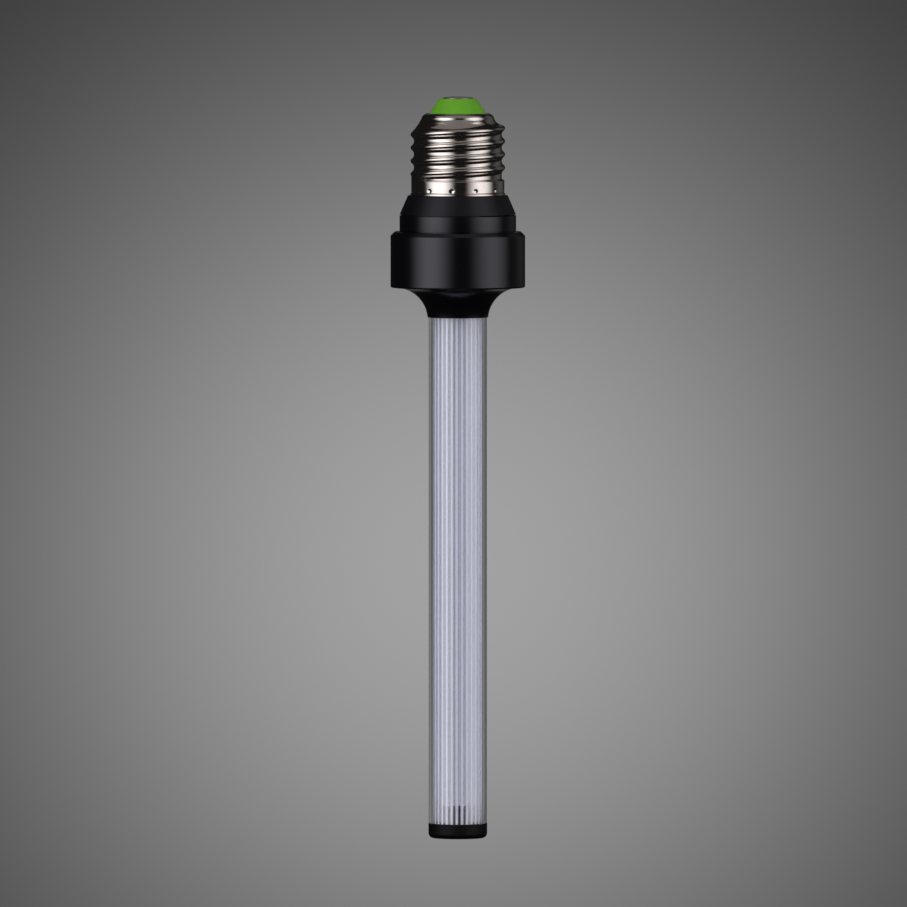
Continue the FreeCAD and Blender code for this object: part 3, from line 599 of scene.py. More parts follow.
class Finishes(Enum):
    """Every finish on the bulb."""

    # A bright warm mirror, with soft streaks round the shell.
    SHELL = RolledPlate("rolled_nickel_plate", "#e0d8d3", "#d3cac4", 0.13, 0.04)
    # The same plate, dulled by the die.
    CONTACT = RolledPlate("stamped_nickel_plate", "#918c88", "#7c7875", 0.36, 0.06)
    # An even, opaque green with a satin skin.
    INSULATOR = Moulding("moulded_green_plastic", "#66aa24", "#5ca01f", 0.42, 0.3, 0.006, 1.4)
    # Matt black, with cool highlights that fade out slowly.
    COLLAR = Moulding(
        "moulded_black_plastic", "#0c0c10", "#09090d", 0.4, 0.2, 0.012, 1.39, "#f0f0ff",
    )
    # Black with hardly any shine.
    END_CAP = Moulding(
        "moulded_black_rubberised_plastic", "#09090b", "#070709", 0.5, 0.2, 0.01, 1.3,
    )
    # A harder satin black, which shows each soft box as an upright band.
    HOUSING = TurnedAnodised(
        "black_anodised_turned_aluminium", "#07070b", "#050508", 0.24, "#f2f2ff",
    )
    # Clear, with lines along both sides where the wall bends the light.
    TUBE = DrawnGlass("clear_drawn_glass")
    # Milky grooves, with clear ridges that draw the stripes between them.
    GUIDE = ExtrudedAcrylic("extruded_light_guide_acrylic", "#f6f6fc", "#e5e3f7", 1.0, 0.4)
    # Glossy green over lighter tracks.
    DRIVER_BOARD = PaintedBoard("green_circuit_board", "#1d5c35", "#2c7a48")
    # Glossy white, whose tracks hardly show.
    LED_BOARD = PaintedBoard("white_aluminium_board", "#e8e8e4", "#d8d8d4", 4.0)
    # Dull yellow powder, bound to a white body.
    EMITTER = SpeckledBody("phosphor_over_ceramic", "#e6c84a", "#d9b63a", 0.55)
    # A thin dark film, shrunk tight and rather shiny.
    SLEEVE = Moulding("shrunk_capacitor_sleeve", "#20242e", "#1a1d26", 0.3, 0.6, 0.004)
    # Satin brown.
    FILM = Moulding("moulded_capacitor_case", "#a34d1e", "#934318", 0.35, 0.3, 0.006)
    # Flat blue-green paint over a rough body.
    RESISTOR = SpeckledBody("painted_resistor", "#4d8f7a", "#43806c", 0.4, 0.4)
    # Dark grey, dull and finely grained.
    FERRITE = SpeckledBody("sintered_ferrite", "#37373a", "#2a2a2d", 0.6)
    # Dark grey, duller than the outer pieces.
    BOBBIN = Moulding("moulded_bobbin_plastic", "#26262a", "#1e1e21", 0.5, 0.25, 0.008)
    # Copper red under clear enamel, with a highlight on each turn.
    WINDING = WoundWire("enamelled_copper_winding", "#b8612e", "#8f431c", 0.3)
    # Dark grey, with a fine blasted grain.
    CHIP = Moulding("moulded_chip_package", "#1c1c1f", "#17171a", 0.55, 0.12, 0.01)
    # Smooth and slightly shiny, as all soft insulation is.
    LEAD_RED = Moulding("red_wire_insulation", "#b3201c", "#a01a17", 0.4, 0.4, 0.004)
    LEAD_BLACK = Moulding("black_wire_insulation", "#1a1a1c", "#151517", 0.4, 0.4, 0.004)
    # A cooler and duller plate than the shell's.
    SCREW = RolledPlate("zinc_plated_steel", "#b9bbbf", "#a3a5a9", 0.28, 0.07)


class Wardrobe:
    """Makes each finish once, and hands it out by name."""

    def __init__(self) -> None:
        """Start with nothing made."""
        self.made: dict[Finishes, bpy.types.Material] = {}

    def take(self, finish: Finishes) -> bpy.types.Material:
        """Hand out a finish, made on its first use.

        Args:
            finish: The finish.

        Returns:
            Its material.
        """
        if finish not in self.made:
            self.made[finish] = finish.value.make()
        return self.made[finish]


class Outline:
    """One half of a turned section, drawn on the XZ plane and then spun."""

    def __init__(self, across: float, up: float) -> None:
        """Start at a point.

        Args:
            across: Its distance from the axis, in millimetres.
            up: Its height, in millimetres.
        """
        self.mesh = bmesh.new()
        self.first = self.mesh.verts.new((across * MM, 0, up * MM))
        self.last = self.first

    def to(self, across: float, up: float) -> "Outline":
        """Draw a straight line to a point.

        Args:
            across: Its distance from the axis, in millimetres.
            up: Its height, in millimetres.

        Returns:
            The outline itself.
        """
        following = self.mesh.verts.new((across * MM, 0, up * MM))
        self.mesh.edges.new((self.last, following))
        self.last = following
        return self

    def arc(self, across: float, up: float, degrees: float, steps: int) -> "Outline":
        """Draw an arc about a centre.

        Args:
            across: The centre's distance from the axis, in millimetres.
            up: The centre's height, in millimetres.
            degrees: The turn, from +X towards +Z where it is positive.
            steps: How many straight edges it has.

        Returns:
            The outline itself.
        """
        made = bmesh.ops.spin(
            self.mesh, geom=[self.last], cent=(across * MM, 0, up * MM), axis=(0, -1, 0),
            dvec=ORIGIN, angle=math.radians(degrees), steps=steps, use_merge=False,
            use_normal_flip=False, use_duplicate=False,
        )
        self.last = next(item for item in made["geom_last"] if isinstance(item, bmesh.types.BMVert))
        return self

    def close(self) -> "Outline":
        """Join the last point to the first."""
        self.mesh.edges.new((self.last, self.first))
        return self

    def spin(self, steps: int) -> bmesh.types.BMesh:
        """Spin the outline in a full turn.

        Args:
            steps: How many flat strips go round.

        Returns:
            The turned surface, its faces pointing outwards.
        """
        bmesh.ops.spin(
            self.mesh, geom=[*self.mesh.verts, *self.mesh.edges], cent=ORIGIN, axis=UPRIGHT,
            dvec=ORIGIN, angle=math.tau, steps=steps, use_merge=True, use_normal_flip=False,
            use_duplicate=False,
        )
        bmesh.ops.remove_doubles(self.mesh, verts=self.mesh.verts, dist=MERGE_DISTANCE)
        bmesh.ops.recalc_face_normals(self.mesh, faces=self.mesh.faces)
        return self.mesh


@dataclass(frozen=True)
class RingEdge:
    """A circular edge that is rounded over, in millimetres."""

    across: float
    up: float
    width: float
    steps: int = 3
    tolerance: float = 0.02

    def meets(self, vert: bmesh.types.BMVert) -> bool:
        """Return whether a point lies on the edge."""
        wide_off, high_off = abs(reach(vert) - self.across), abs(height(vert) - self.up)
        return max(wide_off, high_off) < self.tolerance

    def round_over(self, mesh: bmesh.types.BMesh) -> None:
        """Bevel the edge all the way round.

        Args:
            mesh: The mesh that holds it.

        Raises:
            ValueError: Where the mesh has no such edge.
        """
        found = [edge for edge in mesh.edges if all(self.meets(vert) for vert in edge.verts)]
        if not found:
            raise ValueError(f"no edge lies at {self.across}, {self.up}")
        bmesh.ops.bevel(
            mesh, geom=found, offset=self.width * MM, offset_type="OFFSET", segments=self.steps,
            profile=0.5, affect="EDGES", clamp_overlap=True, material=-1,
        )


class Part:
    """A piece of the bulb that stands for one of the frame's nodes."""

    def __init__(
        self, name: str, mesh: bmesh.types.BMesh, finish: Finishes, wardrobe: Wardrobe,
    ) -> None:
        """Turn a finished bmesh into an object.

        Args:
            name: The piece's name.
            mesh: Its shape, in place.
            finish: What it is made of.
            wardrobe: Where its material comes from.
        """
        self.object = mesh_object(name, mesh, wardrobe.take(finish))
        self.object.data.shade_smooth()
        self.object.data.set_sharp_from_angle(angle=SHARP_ANGLE)

    def even_shading(self) -> "Part":
        """Let the large faces hold their own shading beside narrow rounded edges.

        Returns:
            The part itself.
        """
        even = self.object.modifiers.new("even_shading", "WEIGHTED_NORMAL")
        even.keep_sharp = True
        return self

    def stand_for(self, node: str, slot: str) -> bpy.types.Object:
        """Ride on the body and replace a node.

        Args:
            node: The node's name.
            slot: Not used.

        Returns:
            The part's object.
        """
        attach(self.object, "root")
        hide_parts(node)
        faces = len(self.object.data.polygons)
        log.info("%s stands for %s, with %d faces", self.object.name, node, faces)
        return self.object


def merged_copy(node: str) -> bmesh.types.BMesh:
    """Copy a node's mesh and join its loose triangles into whole faces.

    Args:
        node: The name of the frame's node.

    Returns:
        The copy, with its flat stretches dissolved.
    """
    mesh = bmesh.new()
    mesh.from_mesh(bpy.data.objects[node].data)
    bmesh.ops.remove_doubles(mesh, verts=mesh.verts, dist=MERGE_DISTANCE)
    bmesh.ops.dissolve_limit(
        mesh, angle_limit=FLAT_ANGLE, verts=mesh.verts, edges=mesh.edges,
        use_dissolve_boundaries=False, delimit={"NORMAL"},
    )
    return mesh


@dataclass
class ScrewCap:
    """The E27 cap: the rolled shell, its green insulator and the domed centre contact.

    Points are (across, up) in millimetres, and the rim's are (across, down from the top). Each
    fade runs from one height to another, and the groove starts over a range of degrees.
    """

    wardrobe: Wardrobe
    top: float = field(init=False)
    shell_steps: int = 288
    insulator_steps: int = 128
    contact_steps: int = 96
    wall: float = 0.3
    root: float = 12.08
    crest: float = 13.02
    crest_round: float = 0.78
    pitch: float = 3.629
    crest_height: float = 3.95
    fade_in: tuple[float, float] = (3.9, 5.0)
    fade_out: tuple[float, float] = (18.6, 20.0)
    skirt: float = 12.81
    skirt_fall: float = 0.62
    groove_start: tuple[float, float] = (-178.0, -128.0)
    corner_blend: float = 0.12
    skirt_dive: float = 0.2
    lip_points: tuple[tuple[float, float], ...] = (
        (12.88, 0.0), (13.0, 0.1), (13.0, 0.45), (12.96, 0.55), (12.66, 0.71), (12.81, 0.85),
    )
    skirt_rows: tuple[float, float, float] = (0.98, 2.1, 0.14)
    thread_zone: tuple[float, float] = (2.5, 20.9)
    shoulder_start: float = 17.9
    shoulder_points: tuple[tuple[float, float], ...] = (
        (11.66, 18.4), (11.3, 18.95), (10.97, 19.4), (10.7, 19.82), (10.57, 20.08), (10.32, 20.5),
        (10.06, 20.9), (9.97, 21.2), (9.9, 21.46), (9.72, 21.76), (9.45, 22.02), (9.12, 22.25),
        (8.7, 22.45),
    )
    shoulder_passes: int = 3
    rim_points: tuple[tuple[float, float], ...] = (
        (8.3, 0.03), (8.0, 0.0), (7.85, 0.0), (7.75, 0.06),
    )
    rim_kept: float = 0.1
    row: float = 0.2
    punch_count: int = 12
    punch_turn: float = 22.5
    punch_height: float = 1.4
    punch_radius: float = 0.62
    punch_depth: float = 0.2
    hole: float = 7.75
    hole_slip: float = 0.05
    cone_top: float = 5.05
    cone_round: float = 0.35
    flange: float = 8.5
    flange_height: float = 1.4
    boss: float = 4.6
    boss_height: float = 3.6
    inner_round: float = 0.2
    insulator_bore: float = 1.65
    dome_rise: float = 0.4
    dome: float = 4.17
    dome_steps: int = 10
    dome_round: float = 0.12
    rivet: float = 1.6
    rivet_round: float = 0.15
    rivet_bore: float = 0.8
    rivet_bore_depth: float = 5.0

    def build(self) -> None:
        """Make the cap's three pieces."""
        self.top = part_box("screw_shell")[1].z / MM
        self.build_shell()
        self.build_insulator()
        self.build_contact()

    def build_shell(self) -> None:
        """Roll the shell from a plain turned sheet."""
        low, high = self.thread_zone
        outline = Outline(*self.lip_points[0])
        for point in self.lip_points[1:]:
            outline.to(*point)
        for up in self.rows(*self.skirt_rows):
            outline.to(self.skirt, up)
        for up in self.rows(low, self.shoulder_start, self.row):
            outline.to(self.root, up)
        before = (self.root, self.shoulder_start)
        for point in self.shoulder_points:
            outline.to((before[0] + point[0]) / 2, (before[1] + point[1]) / 2)
            outline.to(*point)
            before = point
        for across, down in self.rim_points:
            outline.to(across, self.top - down)
        mesh = outline.spin(self.shell_steps)
        shoulder = ring_zone(mesh, 0, self.shoulder_start, self.top - self.rim_kept)
        for _ in range(self.shoulder_passes):
            bmesh.ops.smooth_vert(
                mesh, verts=shoulder, factor=0.5, use_axis_x=True, use_axis_y=True, use_axis_z=True,
            )
        for vert in mesh.verts:
            if low - NEAR < height(vert) < high:
                self.roll_thread(vert)
            self.punch(vert)
        bmesh.ops.recalc_face_normals(mesh, faces=mesh.faces)
        self.face_outwards(mesh)
        shell = Part("screw_shell_rolled", mesh, Finishes.SHELL, self.wardrobe)
        sheet = shell.object.modifiers.new("sheet", "SOLIDIFY")
        sheet.thickness = self.wall * MM
        sheet.offset = -1
        shell.stand_for("screw_shell", "nickel_plate")

    @staticmethod
    def rows(start: float, end: float, step: float) -> list[float]:
        """Return even heights from start to end, about a step apart."""
        count = max(1, round((end - start) / step))
        return [start + (end - start) * index / count for index in range(count + 1)]

    @staticmethod
    def face_outwards(mesh: bmesh.types.BMesh) -> None:
        """Turn an open sheet's faces away from the axis.

        Args:
            mesh: The sheet, whose faces all agree.
        """
        face = max(mesh.faces, key=lambda item: math.hypot(*item.calc_center_median().xy))
        centre = face.calc_center_median()
        if face.normal.dot(Vector((centre.x, centre.y, 0))) < 0:
            bmesh.ops.reverse_faces(mesh, faces=mesh.faces)

    def roll_thread(self, vert: bmesh.types.BMVert) -> None:
        """Push one point out to the right-hand thread, or to the skirt if that is wider.

        Args:
            vert: The point of the sheet.
        """
        across, up = reach(vert), height(vert)
        turn = math.atan2(vert.co.y, vert.co.x)
        phase = (up - self.crest_height) / self.pitch - turn / math.tau
        offset = phase - round(phase)
        crest_line = up - offset * self.pitch
        share = self.thread_share(abs(offset) * self.pitch)
        share *= self.smooth(crest_line, *self.fade_in)
        share *= 1 - self.smooth(crest_line, *self.fade_out)
        rolled = across + max(0.0, self.crest - across) * share
        fall = self.smooth(up - self.skirt_top(turn), 0, self.skirt_fall)
        pressed = self.skirt + (min(self.root, across) - self.skirt_dive - self.skirt) * fall
        move_to_reach(vert, self.higher(rolled, pressed))

    def thread_share(self, away: float) -> float:
        """Draw the thread's section: a tight arc on the crest that meets a wide one in the root.

        Args:
            away: The distance from the crest, in millimetres.

        Returns:
            How much of the thread's height stands there.
        """
        half = self.pitch / 2
        depth = self.crest - self.root
        slope = 2 * math.atan(depth / half)
        crest_reach = self.crest_round * math.sin(slope)
        root_round = half / math.sin(slope) - self.crest_round
        if away < crest_reach:
            return 1 - (self.crest_round - math.sqrt(self.crest_round ** 2 - away ** 2)) / depth
        return (root_round - math.sqrt(root_round ** 2 - (half - away) ** 2)) / depth

    def skirt_top(self, turn: float) -> float:
        """Find where the skirt ends: on the first crest, or lower where the groove starts.

        Args:
            turn: The turn about the axis, in radians.

        Returns:
            The height in millimetres.
        """
        if turn >= 0:
            return self.crest_height + self.pitch * turn / math.tau
        rest = 1 - self.smooth(math.degrees(turn), *self.groove_start)
        return self.crest_height + self.pitch / 2 * rest

    def higher(self, first: float, second: float) -> float:
        """Return the larger of two radii, with a small fillet where they cross."""
        blend = max(0.0, self.corner_blend - abs(first - second)) / self.corner_blend
        return max(first, second) + blend * blend * self.corner_blend / 4

    @staticmethod
    def smooth(value: float, low: float, high: float) -> float:
        """Rise from nought to one between two values."""
        share = min(1.0, max(0.0, (value - low) / (high - low)))
        return share * share * (3 - 2 * share)

    def punch(self, vert: bmesh.types.BMVert) -> None:
        """Sink one point of the skirt where a punch has struck it.

        Args:
            vert: The point of the sheet.
        """
        turn = math.degrees(math.atan2(vert.co.y, vert.co.x)) - self.punch_turn
        between = 360 / self.punch_count
        away = math.radians(turn - round(turn / between) * between) * reach(vert)
        distance = math.hypot(away, height(vert) - self.punch_height) / self.punch_radius
        if distance < 1:
            move_to_reach(vert, reach(vert) - self.punch_depth * (1 - distance * distance))

    def build_insulator(self) -> None:
        """Turn the green cone, with its flange and boss under the shell's rim."""
        under = self.top - self.wall
        ledge, foot = under - self.flange_height, under - self.boss_height
        throat = self.hole - self.hole_slip
        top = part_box("cap_insulator")[1].z / MM
        outline = Outline(self.insulator_bore, top).to(self.cone_top, top).to(self.hole, self.top)
        outline.to(throat, self.top).to(throat, under).to(self.flange, under).to(self.flange, ledge)
        outline.to(self.boss, ledge).to(self.boss, foot).to(self.insulator_bore, foot).close()
        mesh = outline.spin(self.insulator_steps)
        RingEdge(self.cone_top, top, self.cone_round, 4).round_over(mesh)
        RingEdge(self.flange, ledge, self.inner_round).round_over(mesh)
        RingEdge(self.boss, foot, self.inner_round).round_over(mesh)
        cone = Part("cap_insulator_moulded", mesh, Finishes.INSULATOR, self.wardrobe)
        cone.even_shading().stand_for("cap_insulator", "green_insulator")

    def build_contact(self) -> None:
        """Turn the domed rivet."""
        low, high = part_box("centre_contact")
        foot, top = low.z / MM, high.z / MM
        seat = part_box("cap_insulator")[1].z / MM
        radius = (self.dome ** 2 + self.dome_rise ** 2) / (2 * self.dome_rise)
        half = math.degrees(math.asin(self.dome / radius))
        bore_top = foot + self.rivet_bore_depth
        outline = Outline(0, top).arc(0, top - radius, -half, self.dome_steps)
        outline.to(self.dome, seat).to(self.rivet, seat).to(self.rivet, foot)
        outline.to(self.rivet_bore, foot).to(self.rivet_bore, bore_top).to(0, bore_top)
        mesh = outline.spin(self.contact_steps)
        RingEdge(self.dome, top - self.dome_rise, self.dome_round).round_over(mesh)
        RingEdge(self.rivet, foot, self.rivet_round, 2).round_over(mesh)
        contact = Part("centre_contact_stamped", mesh, Finishes.CONTACT, self.wardrobe)
        contact.even_shading().stand_for("centre_contact", "contact_nickel")


@dataclass
class Body:
    """The black middle of the bulb: the moulded collar and the turned housing."""

    wardrobe: Wardrobe
    collar_edges: tuple[RingEdge, ...] = (RingEdge(13.7, 0, 0.25), RingEdge(16.0, -5.3, 0.05))
    cylinder_radius: float = 16.03
    near_cylinder: float = 0.05
    joint: float = -5.6
    joint_round: float = 0.06
    ring_radius: float = 18.52
    ring_top: float = -9.67
    ring_drop: float = 0.35
    ring_round: float = 1.2
    ring_round_left: float = 0.1
    ring_foot: float = -25.43
    foot_round: float = 1.0
    foot_round_left: float = 0.5
    relief_height: float = 0.3
    relief_depth: float = 0.25
    relief_slope: float = 0.08

    def build(self) -> None:
        """Dress a copy of both pieces, and finish their outer edges."""
        collar = merged_copy("base_collar")
        for edge in self.collar_edges:
            edge.round_over(collar)
        moulded = Part("base_collar_moulded", collar, Finishes.COLLAR, self.wardrobe)
        moulded.even_shading().stand_for("base_collar", "black_moulding")
        housing = merged_copy("housing")
        RingEdge(self.cylinder_radius, self.joint, self.joint_round).round_over(housing)
        self.flatten_round(housing)
        self.sharpen_foot(housing)
        self.lower_ring_top(housing)
        self.cut_relief(housing)
        turned = Part("housing_turned", housing, Finishes.HOUSING, self.wardrobe)
        turned.even_shading().stand_for("housing", "black_anodised")

    def flatten_round(self, housing: bmesh.types.BMesh) -> None:
        """Press the round on the ring's top edge nearly flat, to the chamfer that the light shows.

        Args:
            housing: The housing's mesh.
        """
        across, up = self.ring_radius - self.ring_round, self.ring_top - self.ring_round
        for vert in ring_zone(housing, across + NEAR, up + NEAR, self.ring_top - NEAR):
            wide, high = reach(vert), height(vert)
            share = math.atan2(high - up, wide - across) / (math.pi / 2)
            flat_wide = across + self.ring_round * (1 - share)
            flat_high = up + self.ring_round * share
            move_to_reach(vert, flat_wide + (wide - flat_wide) * self.ring_round_left)
            vert.co.z = (flat_high + (high - flat_high) * self.ring_round_left) * MM

    def sharpen_foot(self, housing: bmesh.types.BMesh) -> None:
        """Draw the round on the ring's lower edge tighter, towards its corner.

        Args:
            housing: The housing's mesh.
        """
        inner = self.ring_radius - self.foot_round - NEAR
        low, high = self.ring_foot - NEAR, self.ring_foot + self.foot_round + NEAR
        for vert in ring_zone(housing, inner, low, high):
            wide_off, high_off = reach(vert) - self.ring_radius, height(vert) - self.ring_foot
            move_to_reach(vert, self.ring_radius + wide_off * self.foot_round_left)
            vert.co.z = (self.ring_foot + high_off * self.foot_round_left) * MM

    def lower_ring_top(self, housing: bmesh.types.BMesh) -> None:
        """Set the ring's top and its chamfer a little lower, where the light shows them.

        Args:
            housing: The housing's mesh.
        """
        low, high = self.ring_top - self.ring_round - NEAR, self.ring_top + NEAR
        for vert in ring_zone(housing, self.cylinder_radius - self.near_cylinder, low, high):
            vert.co.z -= self.ring_drop * MM

    def cut_relief(self, housing: bmesh.types.BMesh) -> None:
        """Turn the shallow relief groove at the foot of the short cylinder, above the ring.

        Args:
            housing: The housing's mesh.
        """
        seat = self.ring_top - self.ring_drop
        start = seat + self.relief_height
        for up in (start, start - self.relief_slope):
            whole = [*housing.verts, *housing.edges, *housing.faces]
            bmesh.ops.bisect_plane(housing, geom=whole, plane_co=(0, 0, up * MM), plane_no=UPRIGHT)
        inner = self.cylinder_radius - self.near_cylinder
        for vert in ring_zone(housing, inner, seat - NEAR, start - self.relief_slope / 2):
            if reach(vert) < self.cylinder_radius + self.near_cylinder:
                move_to_reach(vert, reach(vert) - self.relief_depth)


@dataclass
class LightColumn:
    """The long part below: the clear tube, the fluted guide inside it and the end cap."""

    wardrobe: Wardrobe
    flutes: int = 30
    flute_points: int = 10
    flute_depth: float = 0.22
    flute_radius: float = 0.62
    flute_turn: float = -2.6
    etched_share: tuple[float, float] = (0.17, 0.28)
    etch_margin: float = 0.1
    boss: float = 3.0
    boss_height: float = 4.2
    crown_rise: float = 1.8
    crown_steps: int = 8
    crown_tip: float = 0.02
    clearance: float = 0.1
    tube_wall: float = 1.0
    tube_steps: int = 192
    broken_edge: float = 0.12
    cap_round: float = 1.4
    cap_round_steps: int = 8
    cap_steps: int = 128

    def build(self) -> None:
        """Make the tube, the guide and the cap."""
        self.build_tube()
        self.build_guide()
        self.build_end_cap()

    def build_tube(self) -> None:
        """Turn the clear tube, with its cut ends ground."""
        low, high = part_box("outer_tube")
        outer = high.x / MM
        inner = outer - self.tube_wall
        foot, top = low.z / MM, high.z / MM
        outline = Outline(outer, foot).to(outer, top).to(inner, top).to(inner, foot).close()
        mesh = outline.spin(self.tube_steps)
        for across in (outer, inner):
            for up in (foot, top):
                RingEdge(across, up, self.broken_edge, 2).round_over(mesh)
        tube = Part("outer_tube_drawn", mesh, Finishes.TUBE, self.wardrobe)
        tube.even_shading().stand_for("outer_tube", "clear_glass").visible_shadow = False

    def flute_turn_of(self, vert: bmesh.types.BMVert) -> float:
        """Return a point's turn from the groove nearest the front, in radians."""
        return math.atan2(vert.co.x, -vert.co.y) - math.radians(self.flute_turn)

    def flute_reach(self, turn: float, outer: float) -> float:
        """Draw the guide's section: round grooves with narrow ridges between them.

        Args:
            turn: The turn from the middle of a groove, in radians.
            outer: The guide's radius over its ridges, in millimetres.

        Returns:
            How far the skin lies from the axis there, in millimetres.
        """
        between = math.tau / self.flutes
        away = turn - round(turn / between) * between
        centre = outer - self.flute_depth + self.flute_radius
        sideways = centre * math.sin(away)
        if abs(sideways) >= self.flute_radius:
            return outer
        inner_side = centre * math.cos(away) - math.sqrt(self.flute_radius ** 2 - sideways ** 2)
        return min(outer, inner_side)

    def build_guide(self) -> None:
        """Draw the fluted section, pull it up, and sink the blind bore for the cap's boss."""
        low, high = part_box("light_guide")
        outer = high.x / MM
        foot, top = low.z / MM, high.z / MM
        count = self.flutes * self.flute_points
        mesh = bmesh.new()
        skin, bore = (
            bmesh.ops.create_circle(
                mesh, cap_ends=False, radius=radius * MM, segments=count,
            )["verts"]
            for radius in (outer, self.boss + self.clearance)
        )
        bmesh.ops.translate(mesh, verts=mesh.verts, vec=(0, 0, foot * MM))
        for vert in skin:
            move_to_reach(vert, self.flute_reach(self.flute_turn_of(vert), outer))
        outer_edges = [edge for edge in mesh.edges if edge.verts[0] in skin]
        bore_edges = [edge for edge in mesh.edges if edge.verts[0] in bore]
        bmesh.ops.bridge_loops(mesh, edges=outer_edges + bore_edges)
        self.pull_up(mesh, outer_edges, (top - foot) * MM, close=True)
        ring = self.pull_up(mesh, bore_edges, self.boss_height * MM)
        wide, up = 1.0, 0.0
        for share, rise in self.crown():
            ring = self.pull_up(mesh, ring, (rise - up) * MM)
            self.draw_in(mesh, ring, share / wide)
            wide, up = share, rise
        bmesh.ops.contextual_create(mesh, geom=ring)
        bmesh.ops.remove_doubles(mesh, verts=mesh.verts, dist=MERGE_DISTANCE)
        bmesh.ops.recalc_face_normals(mesh, faces=mesh.faces)
        self.etch(mesh, outer)
        guide = Part("light_guide_fluted", mesh, Finishes.GUIDE, self.wardrobe)
        guide.even_shading().stand_for("light_guide", "clear_acrylic").visible_shadow = False

    def crown(self) -> list[tuple[float, float]]:
        """Draw the dome that the boss and its bore share.

        Returns:
            For each ring of points, its share of the width and its rise in millimetres.
        """
        turns = [math.pi / 2 * step / self.crown_steps for step in range(1, self.crown_steps + 1)]
        return [
            (max(self.crown_tip, math.cos(turn)), self.crown_rise * math.sin(turn))
            for turn in turns
        ]

    def etch(self, mesh: bmesh.types.BMesh, outer: float) -> None:
        """Mark the floor of each groove as etched, from full at its middle to none at the ridges.

        Args:
            mesh: The guide's mesh.
            outer: The guide's radius over its ridges, in millimetres.
        """
        layer = mesh.verts.layers.float.new(ETCHED)
        between = math.tau / self.flutes
        low, high = self.etched_share
        for vert in mesh.verts:
            turn = self.flute_turn_of(vert) / between
            share = min(1.0, max(0.0, (high - abs(turn - round(turn))) / (high - low)))
            outside = reach(vert) > outer - self.flute_depth - self.etch_margin
            vert[layer] = share if outside else 0.0

    @staticmethod
    def pull_up(
        mesh: bmesh.types.BMesh, edges: Iterable[bmesh.types.BMEdge], rise: float,
        close: bool = False,
    ) -> list[bmesh.types.BMEdge]:
        """Extrude a ring of edges upwards.

        Args:
            mesh: The mesh that holds them.
            edges: The ring.
            rise: How far, in metres.
            close: Whether the new ring gets a flat face.

        Returns:
            The new ring.
        """
        made = bmesh.ops.extrude_edge_only(mesh, edges=list(edges))["geom"]
        verts = [item for item in made if isinstance(item, bmesh.types.BMVert)]
        ring = [item for item in made if isinstance(item, bmesh.types.BMEdge)]
        bmesh.ops.translate(mesh, verts=verts, vec=(0, 0, rise))
        if close:
            bmesh.ops.contextual_create(mesh, geom=ring)
        return ring

    @staticmethod
    def draw_in(mesh: bmesh.types.BMesh, ring: Iterable[bmesh.types.BMEdge], share: float) -> None:
        """Draw a ring in towards the axis, to a share of its width."""
        verts = {vert for edge in ring for vert in edge.verts}
        bmesh.ops.scale(mesh, verts=list(verts), vec=(share, share, 1))

    def build_end_cap(self) -> None:
        """Turn the end cap, with the boss that stands up inside the guide."""
        low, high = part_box("end_cap")
        radius = high.x / MM
        foot = low.z / MM
        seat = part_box("outer_tube")[0].z / MM
        shoulder = seat + self.boss_height - self.clearance
        outline = Outline(0, shoulder + self.crown_rise)
        for share, rise in reversed(self.crown()):
            outline.to(self.boss * share, shoulder + rise)
        outline.to(self.boss, shoulder).to(self.boss, seat).to(radius, seat)
        outline.to(radius, foot + self.cap_round)
        outline.arc(radius - self.cap_round, foot + self.cap_round, -90, self.cap_round_steps)
        outline.to(0, foot)
        mesh = outline.spin(self.cap_steps)
        RingEdge(radius, seat, self.broken_edge, 2).round_over(mesh)
        cap = Part("end_cap_moulded", mesh, Finishes.END_CAP, self.wardrobe)
        cap.even_shading().stand_for("end_cap", "black_moulding")


@dataclass
class Electronics:
    """The pieces inside, which keep their own solids and get their real finishes."""

    wardrobe: Wardrobe
    finishes: dict[str, Finishes] = field(default_factory=lambda: {
        "led_board": Finishes.LED_BOARD,
        "led_emitter": Finishes.EMITTER,
        "board_screws": Finishes.SCREW,
        "driver_board": Finishes.DRIVER_BOARD,
        "smoothing_capacitor": Finishes.SLEEVE,
        "input_capacitor": Finishes.FILM,
        "fusible_resistor": Finishes.RESISTOR,
        "transformer_core": Finishes.FERRITE,
        "transformer_bobbin": Finishes.BOBBIN,
        "transformer_winding": Finishes.WINDING,
        "driver_chip": Finishes.CHIP,
        "bridge_rectifier": Finishes.CHIP,
        "contact_lead": Finishes.LEAD_RED,
        "shell_lead": Finishes.LEAD_BLACK,
        "led_lead_positive": Finishes.LEAD_RED,
        "led_lead_negative": Finishes.LEAD_BLACK,
    })

    def build(self, nodes: dict[str, bpy.types.Object]) -> None:
        """Put each finish on its node's slots.

        Args:
            nodes: The frame's nodes by name.
        """
        for name, finish in self.finishes.items():
            for slot in nodes[name].material_slots:
                slot.material = self.wardrobe.take(finish)
            log.info("%s keeps its solid, in %s", name, finish.value.name)


